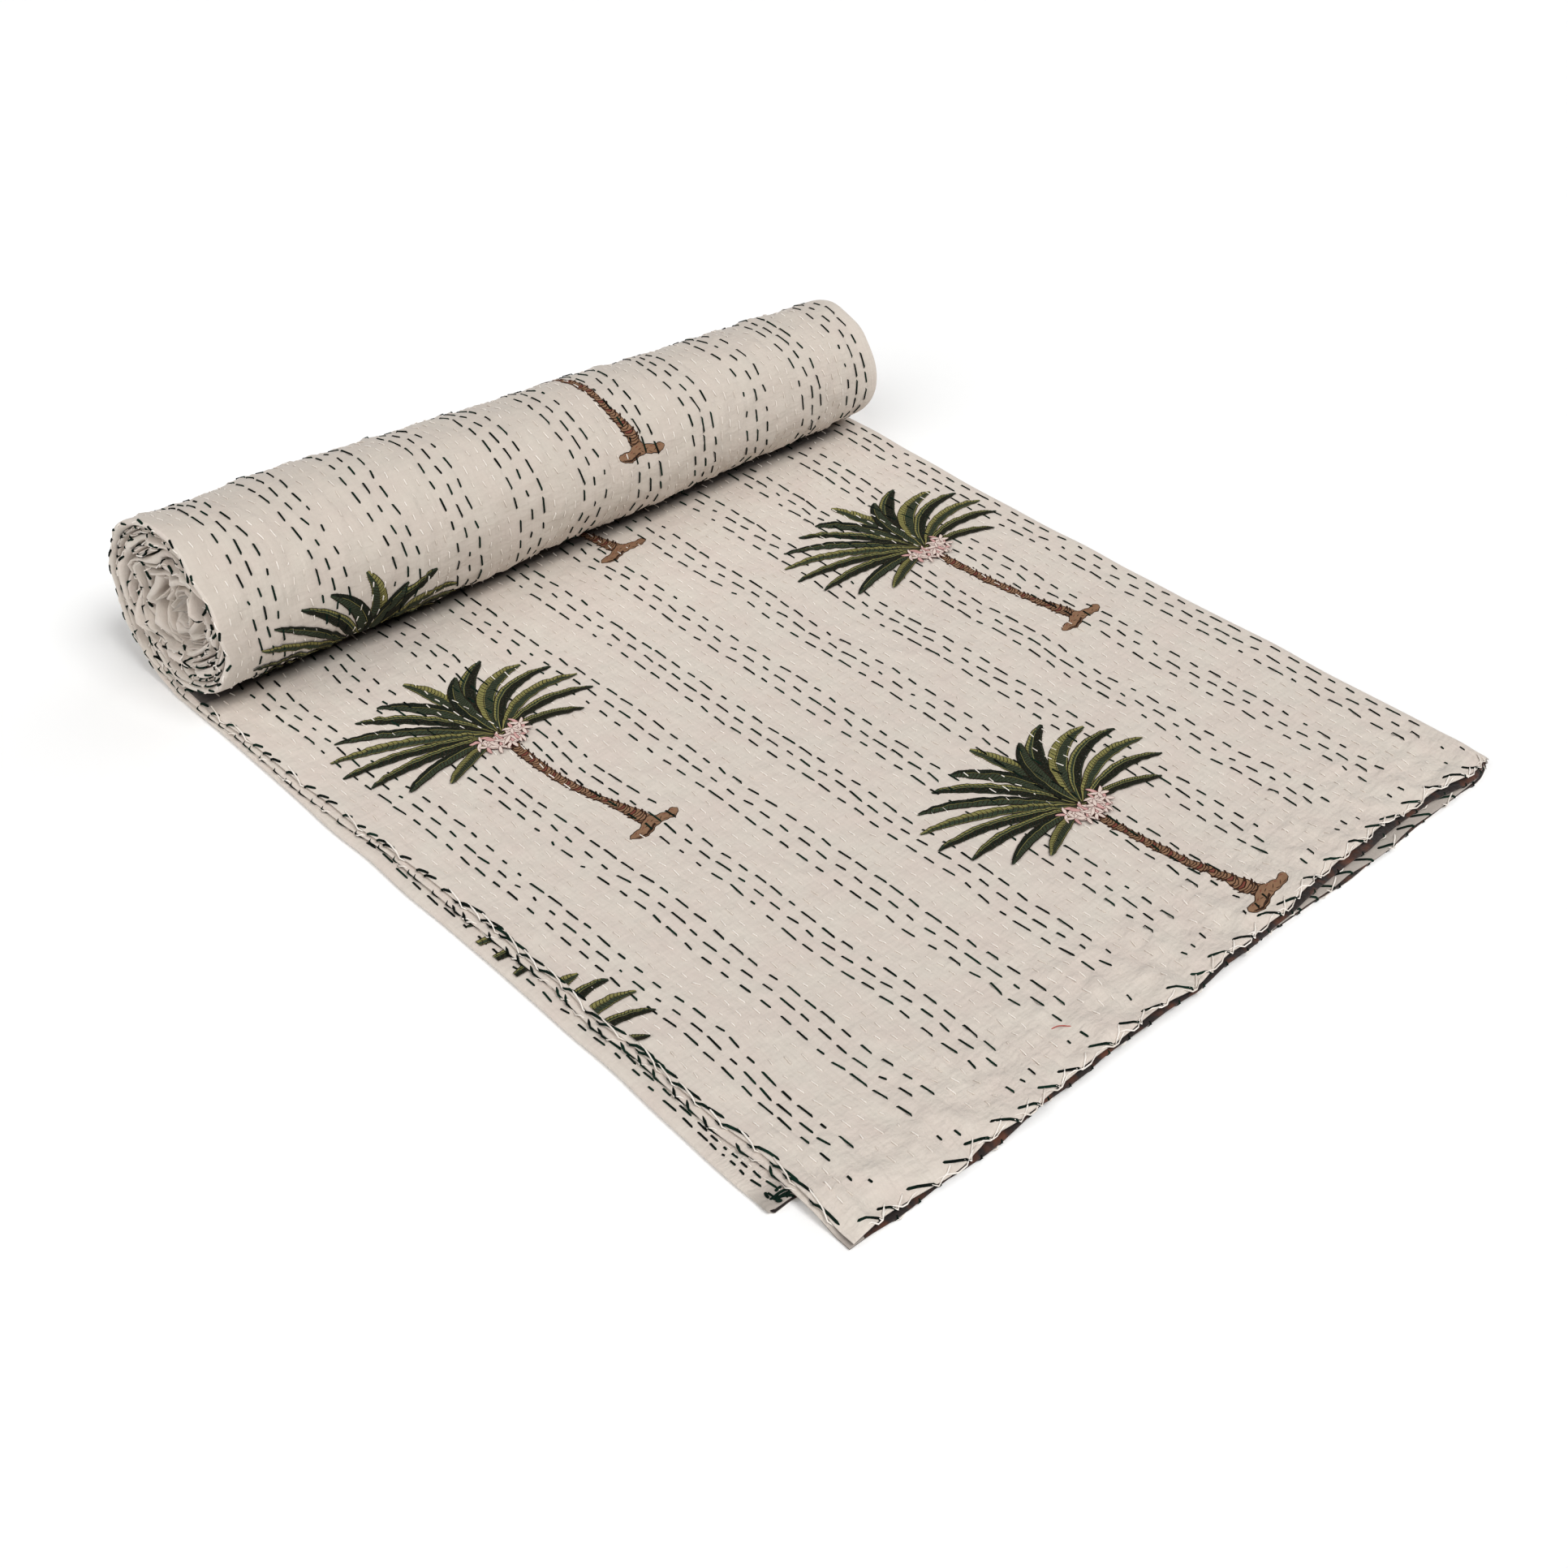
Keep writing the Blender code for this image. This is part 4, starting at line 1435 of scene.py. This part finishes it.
def build_palms(cloth, name, layers):
    """The ink on some layers, as one mesh."""
    ink_print = draw_palm()
    names = list(INKS)
    points, faces, slots, uvs = [], [], [], []
    for palm in PALMS:
        if palm.layer not in layers:
            continue
        index, spots, levels = {}, [], []
        for ink, level, part in print_palm(cloth, palm, ink_print):
            face = []
            for corner in part:
                key = (round(corner[3] * CORNER_GRID), round(corner[4] * CORNER_GRID), level)
                if key not in index:
                    index[key] = len(spots) + len(points)
                    spots.append(corner)
                    levels.append(level)
                if index[key] not in face:
                    face.append(index[key])
            if len(face) > 2:
                faces.append(face)
                slots.append(names.index(ink))
        column, number, _, x, w = np.array(spots).T
        lift = FIRST_LIFT + LEVEL_LIFT * np.array(levels)
        points += cloth.place_at(0, column, number, lift)[0].tolist()
        uvs += np.stack([x, w * MIDDLE_ALONG], axis=1).tolist()
    made = new_object(name, points, faces, [ink_material(ink, code) for ink, code in INKS.items()], slots)
    face_up(made)
    set_uv(made, "cloth", uvs)
    return made


def face_up(made):
    """Turns every face of the print outwards: up on the flat, away from the axis on the roll."""
    shape = bmesh.new()
    shape.from_mesh(made.data)
    axis_y = PACK[2].axis - MIDDLE_Y
    for face in shape.faces:
        middle = face.calc_center_median()
        out = Vector((0.0, 0.0, 1.0))
        if middle.z > FLAT_TOP:
            out = middle - Vector((middle.x, axis_y, PACK[2].radius))
        if face.normal.dot(out) < 0:
            face.normal_flip()
    shape.to_mesh(made.data)
    shape.free()


# ================================================================ materials
class Graph:
    """A node tree, with a short method for each kind of node that is used here. A value is a number, a
    tuple, a colour code or another node's output."""

    def __init__(self, tree):
        self.nodes, self.links = tree.nodes, tree.links

    def feed(self, socket, value):
        if isinstance(value, bpy.types.NodeSocket):
            self.links.new(value, socket)
        else:
            socket.default_value = linear(value) if isinstance(value, str) else value

    def add(self, kind, inputs=None, **settings):
        node = self.nodes.new("ShaderNode" + kind)
        for key, value in settings.items():
            setattr(node, key, value)
        for socket, value in (inputs or {}).items():
            self.feed(node.inputs[socket], value)
        return node

    def uv(self, name, scale=(1.0, 1.0, 1.0)):
        source = self.add("UVMap", uv_map=name).outputs["UV"]
        return self.add("Mapping", {"Vector": source, "Scale": scale}).outputs["Vector"]

    def parts(self, vector):
        return self.add("SeparateXYZ", {"Vector": vector}).outputs

    def noise(self, vector, scale, detail=2.0, roughness=0.5):
        inputs = {"Vector": vector, "Scale": scale, "Detail": detail, "Roughness": roughness}
        return self.add("TexNoise", inputs).outputs["Fac"]

    def bands(self, vector, scale, direction, distortion, more=()):
        inputs = {"Vector": vector, "Scale": scale, "Distortion": distortion, **dict(more)}
        return self.add("TexWave", inputs, wave_type="BANDS", bands_direction=direction).outputs["Fac"]

    def math(self, operation, first, second):
        return self.add("Math", {0: first, 1: second}, operation=operation).outputs[0]

    def plus(self, first, second):
        return self.math("ADD", first, second)

    def times(self, first, *factors):
        for factor in factors:
            first = self.math("MULTIPLY", first, factor)
        return first

    def below(self, value, limit):
        return self.math("LESS_THAN", value, limit)

    def above(self, value, limit):
        return self.math("GREATER_THAN", value, limit)

    def ramp(self, value, low, high):
        """0 at low and 1 at high, and even between them."""
        return self.add("MapRange", {"Value": value, "From Min": low, "From Max": high}).outputs["Result"]

    def mix(self, factor, first, second):
        inputs = {"Factor": factor, "A": first, "B": second}
        return self.add("Mix", inputs, data_type="RGBA").outputs["Result"]

    def bump(self, shader, height, strength, distance):
        inputs = {"Height": height, "Strength": strength, "Distance": distance}
        self.feed(shader["Normal"], self.add("Bump", inputs).outputs["Normal"])


def new_material(name, roughness, specular=0.25):
    """A material, its graph and its shader's inputs."""
    material = bpy.data.materials.new(name)
    material.use_nodes = True
    graph = Graph(material.node_tree)
    shader = graph.nodes["Principled BSDF"].inputs
    shader["Roughness"].default_value = roughness
    shader["Specular IOR Level"].default_value = specular
    return material, graph, shader


THREADS_A_METRE = 1550.0
BANDS_A_METRE = 20.0  # of a wave texture at scale 1
HEM_GAP_SHADE_REACH = 0.0205  # the reverse carries painted shade, dark brown with rust patches, for this far from the near hem
SECOND_HEM_TURN = 0.012  # the printed side is turned over the reverse along the second layer's open hem
REVERSE_UV = 4.0  # how far the reverse is from the printed side in the cloth's UV map
OUTER_FADE = 0.03  # from the wide fold to where the roll's outer side is its own shade
LOWER_SHADE = (0.022, 0.006)  # how far from the near hem the painted shade on the lower pair starts and is darkest
CREASE_START = 0.0400  # in front of the roll's axis
CREASE_FULL = 0.0245
CREASE_BACK = 0.01
CREASE_SIDE = (0.006, 0.034)  # from the wide fold
PUCKER_REACH = (0.090, 0.015)  # from the near hem


def weave(graph):
    """The height of a plain weave: warp and weft, with thicker slubs here and there along both."""
    uv = graph.uv("cloth")
    fine = {"Detail": 1.0, "Detail Scale": 4.0}
    total = None
    for direction, stretch in (("X", (1.0, 0.05, 1.0)), ("Y", (0.05, 1.0, 1.0))):
        threads = graph.bands(uv, THREADS_A_METRE / BANDS_A_METRE, direction, 0.6, fine)
        slubs = graph.noise(graph.uv("cloth", stretch), 620.0, 2.0, 0.6)
        part = graph.plus(graph.times(threads, 0.35), slubs)
        total = part if total is None else graph.plus(total, part)
    return total


def cloth_material(wide_fold, left_fold, second_turn):
    """Washed cotton: warm and cool patches, faint slubs, and a weave in the bump. Between the wide fold
    and the left one, which is on the roll's outer side, it is a shade greyer."""
    material, graph, shader = new_material("quilted_cotton", 0.92)
    shader["Sheen Weight"].default_value = 0.18
    shader["Sheen Roughness"].default_value = 0.6
    uv = graph.uv("cloth")
    across, along = graph.parts(uv)[:2]
    height = weave(graph)
    patches = graph.ramp(graph.noise(uv, 34.0, 3.0), 0.35, 0.68)
    slubs = graph.times(graph.ramp(height, 0.7, 1.9), 0.22)
    streaks = graph.noise(graph.uv("cloth", (1.0, 0.09, 1.0)), 560.0, 2.0, 0.6)
    streaks = graph.times(graph.ramp(streaks, 0.50, 0.78), 0.30)
    outer = graph.ramp(across, wide_fold, wide_fold + OUTER_FADE)
    outer = graph.times(graph.below(across, left_fold), outer, 0.40)
    # Painted shade on the lower pair near the near hem, in the gap under the upper pair.
    lower = graph.times(graph.above(across, left_fold), graph.ramp(along, *LOWER_SHADE), 0.42)
    colour = graph.mix(patches, CLOTH, CLOTH_WARM)
    colour = graph.mix(slubs, colour, CLOTH_SHADE)
    colour = graph.mix(streaks, colour, CLOTH_SHADE)
    colour = graph.mix(outer, colour, CLOTH_SHADE)
    # Painted shade deep in the crease where the roll meets the flat stretch.
    colour = graph.mix(crease_shade(graph, across, along, wide_fold), colour, CREASE_SHADE)
    colour = graph.mix(lower, colour, HEM_GAP_SHADE)
    # Painted shade on the reverse near the near hem, dark brown with rust patches, except where the
    # second layer's open hem turns the printed side over it.
    reverse = graph.below(across, REVERSE_UV + second_turn)
    reverse = graph.times(graph.above(across, REVERSE_UV - 1.0), reverse)
    rust = graph.ramp(graph.noise(uv, 55.0, 3.0), 0.48, 0.62)
    hem_gap_shade = graph.times(reverse, graph.below(along, HEM_GAP_SHADE_REACH))
    colour = graph.mix(hem_gap_shade, colour, graph.mix(rust, HEM_GAP_SHADE, HEM_GAP_SHADE_RUST))
    graph.feed(shader["Base Color"], colour)
    graph.bump(shader, graph.plus(height, puckers(graph)), 0.55, 0.00022)
    return material


def crease_shade(graph, across, along, wide_fold):
    """Painted shade on the top layer deep in the crease between the flat stretch and the roll. It fades
    towards the wide fold, where the crease opens to the side."""
    front = graph.ramp(along, MIDDLE_ALONG - CREASE_START, MIDDLE_ALONG - CREASE_FULL)
    back = graph.ramp(along, MIDDLE_ALONG, MIDDLE_ALONG - CREASE_BACK)
    side = graph.ramp(across, *(wide_fold - distance for distance in CREASE_SIDE))
    return graph.times(graph.math("POWER", graph.times(front, back, side), 1.3), 0.96)


def puckers(graph):
    """The height of small gathers across the stitch lines, higher towards the near hem."""
    fine = graph.noise(graph.uv("cloth", (0.55, 1.0, 1.0)), 230.0, 2.5, 0.6)
    wide = graph.noise(graph.uv("cloth", (0.60, 1.0, 1.0)), 85.0, 2.0, 0.5)
    near = graph.ramp(graph.parts(graph.uv("cloth"))["Y"], *PUCKER_REACH)
    gain = graph.plus(graph.times(near, 6.0), 5.0)
    return graph.times(graph.plus(fine, graph.times(wide, 1.2)), gain)


def ink_material(name, code):
    """Pigment printed on the cotton: the weave shows in its bump and thins the ink in places."""
    material, graph, shader = new_material("ink_" + name, 0.92, specular=0.10)
    worn = graph.ramp(graph.noise(graph.uv("cloth"), 900.0, 3.0, 0.7), 0.52, 0.82)
    graph.feed(shader["Base Color"], graph.mix(graph.times(worn, 0.15), code, CLOTH_SHADE))
    graph.bump(shader, weave(graph), 0.5, 0.0002)
    return material


def thread_material(name, code, lit_code):
    """Loosely twisted cotton thread: slanting plies in the bump and a slightly paler shade on some."""
    material, graph, shader = new_material(name, 0.85, specular=0.08)
    plies = graph.bands(graph.uv("thread", (1.0, 0.0012, 1.0)), 95.0, "DIAGONAL", 0.4)
    place = graph.add("TexCoord").outputs["Object"]
    shade = graph.ramp(graph.noise(place, 60.0), 0.40, 0.66)
    graph.feed(shader["Base Color"], graph.mix(shade, code, lit_code))
    graph.bump(shader, plies, 0.6, 0.00015)
    return material


def floor_material():
    material, graph, shader = new_material("pale_floor", 0.75)
    cloudy = graph.noise(graph.add("TexCoord").outputs["Object"], 2.0, 3.0)
    graph.feed(shader["Base Color"], graph.mix(cloudy, "#FFFFFE", "#FFFFFF"))
    return material


# ================================================================ stage
CAMERA_PLACE = (-0.85267, -0.81251, 0.90152)
CAMERA_HEADING = -45.16
CAMERA_DOWN = 38.70
CAMERA_ROLL = 2.415
FOCAL_LENGTH_MM = 53.37
SENSOR_MM = 36.0
CAMERA_SHIFT = (0.0235, -0.0124)
NEAR_CLIP = 0.05
FLOOR_LEVEL = -0.0004
FLOOR_REACH = 8.0


def build_camera():
    data = bpy.data.cameras.new("camera")
    data.lens = FOCAL_LENGTH_MM
    data.sensor_width = SENSOR_MM
    data.shift_x, data.shift_y = CAMERA_SHIFT
    data.clip_start = NEAR_CLIP
    camera = bpy.data.objects.new("camera", data)
    place = Matrix.Translation(CAMERA_PLACE)
    for angle, axis in ((CAMERA_HEADING, "Z"), (90.0 - CAMERA_DOWN, "X"), (CAMERA_ROLL, "Z")):
        place = place @ Matrix.Rotation(math.radians(angle), 4, axis)
    camera.matrix_world = place
    bpy.context.scene.collection.objects.link(camera)
    bpy.context.scene.camera = camera


def build_floor():
    r = FLOOR_REACH
    corners = [(x, y, FLOOR_LEVEL) for x, y in ((-r, -r), (r, -r), (r, r), (-r, r))]
    new_object("floor", corners, [(0, 1, 2, 3)], [floor_material()])


DistantLight = namedtuple("DistantLight", "name towards spread strength")
DISTANT_LIGHTS = (  # spread in degrees, strength in watts a square metre
    DistantLight(name="key", towards=(0.0, -0.65, 1.0), spread=30.0, strength=1.98),
    DistantLight(name="left", towards=(-1.0, -0.05, 1.0), spread=60.0, strength=1.52),
    DistantLight(name="right", towards=(1.0, -0.1, 1.0), spread=60.0, strength=0.60),
)
SKY_STRENGTH = 0.03
HORIZON_STRENGTH = 1.00
HORIZON_FULL = 3.0  # the glow is full below this elevation, in degrees
HORIZON_END = 10.0


def build_world():
    """A faint sky above a glowing horizon. Where it is seen directly it is all as bright as the glow."""
    world = bpy.data.worlds.new("studio")
    world.use_nodes = True
    graph = Graph(world.node_tree)
    sky = graph.nodes["Background"].inputs
    sky["Color"].default_value = (1.0, 1.0, 1.0, 1.0)
    height = graph.parts(graph.add("TexCoord").outputs["Generated"])["Z"]
    end, full = (math.sin(math.radians(angle)) for angle in (HORIZON_END, HORIZON_FULL))
    strengths = {"To Min": SKY_STRENGTH, "To Max": HORIZON_STRENGTH}
    glow = graph.add("MapRange", {"Value": height, "From Min": end, "From Max": full, **strengths})
    direct = graph.add("LightPath").outputs["Is Camera Ray"]
    seen = graph.add("Mix", {"Factor": direct, "A": glow.outputs["Result"], "B": HORIZON_STRENGTH})
    graph.feed(sky["Strength"], seen.outputs["Result"])
    bpy.context.scene.world = world


def build_lights():
    for light in DISTANT_LIGHTS:
        data = bpy.data.lights.new(light.name, "SUN")
        data.angle = math.radians(light.spread)
        data.energy = light.strength
        made = bpy.data.objects.new(light.name, data)
        made.location = Vector(light.towards) * 2.0
        made.rotation_euler = Vector(light.towards).to_track_quat("Z", "Y").to_euler()
        bpy.context.scene.collection.objects.link(made)


# ================================================================ the scene
def settle(made):
    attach(made, "root")


def build_sewing(cloth):
    """All pieces of thread. A thread's material has the name of its slot."""
    green = thread_material("thread_green", GREEN_THREAD, GREEN_THREAD_LIT)
    cream = thread_material("thread_cream", CREAM_THREAD, CREAM_THREAD_LOW)
    pink = thread_material("thread_pink", PINK_THREAD, PINK_THREAD)
    green_hems = [hem_paths(cloth, *kind) for kind in GREEN_SEWN] + [corner_loops(cloth)]
    green_hems += [fold_paths(cloth, FOLD_GREEN, 0.030, 0.0165, 81)]
    cream_hems = [hem_paths(cloth, *kind) for kind in CREAM_SEWN]
    cream_hems += [fold_paths(cloth, FOLD_CREAM, 0.034, 0.0210, 82)]
    pieces = [
        build_running_stitches(cloth, "stitches_green", "green", green, GREEN_STITCH, 6),
        build_running_stitches(cloth, "stitches_cream", "cream", cream, CREAM_STITCH, 5),
        build_threads("hem_stitches_green", green, green_hems, GREEN_HEM_HALF),
        build_threads("hem_stitches_cream", cream, cream_hems, CREAM_HEM_HALF),
        build_threads("loose_end_pink", pink, [pink_end(cloth)], PINK_HALF),
    ]
    for made in pieces:
        settle(made)
    return pieces


def build():
    bpy.context.scene.view_settings.view_transform = "Standard"
    build_camera()
    build_floor()
    build_world()
    build_lights()
    cloth = Cloth()
    sheet = build_sheet(cloth)
    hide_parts("quilt")
    palms = [build_palms(cloth, "palm_print_flat", (3, 1)), build_palms(cloth, "palm_print_roll", (0,))]
    for made in [sheet] + palms:
        settle(made)
    palms + build_sewing(cloth)


build()
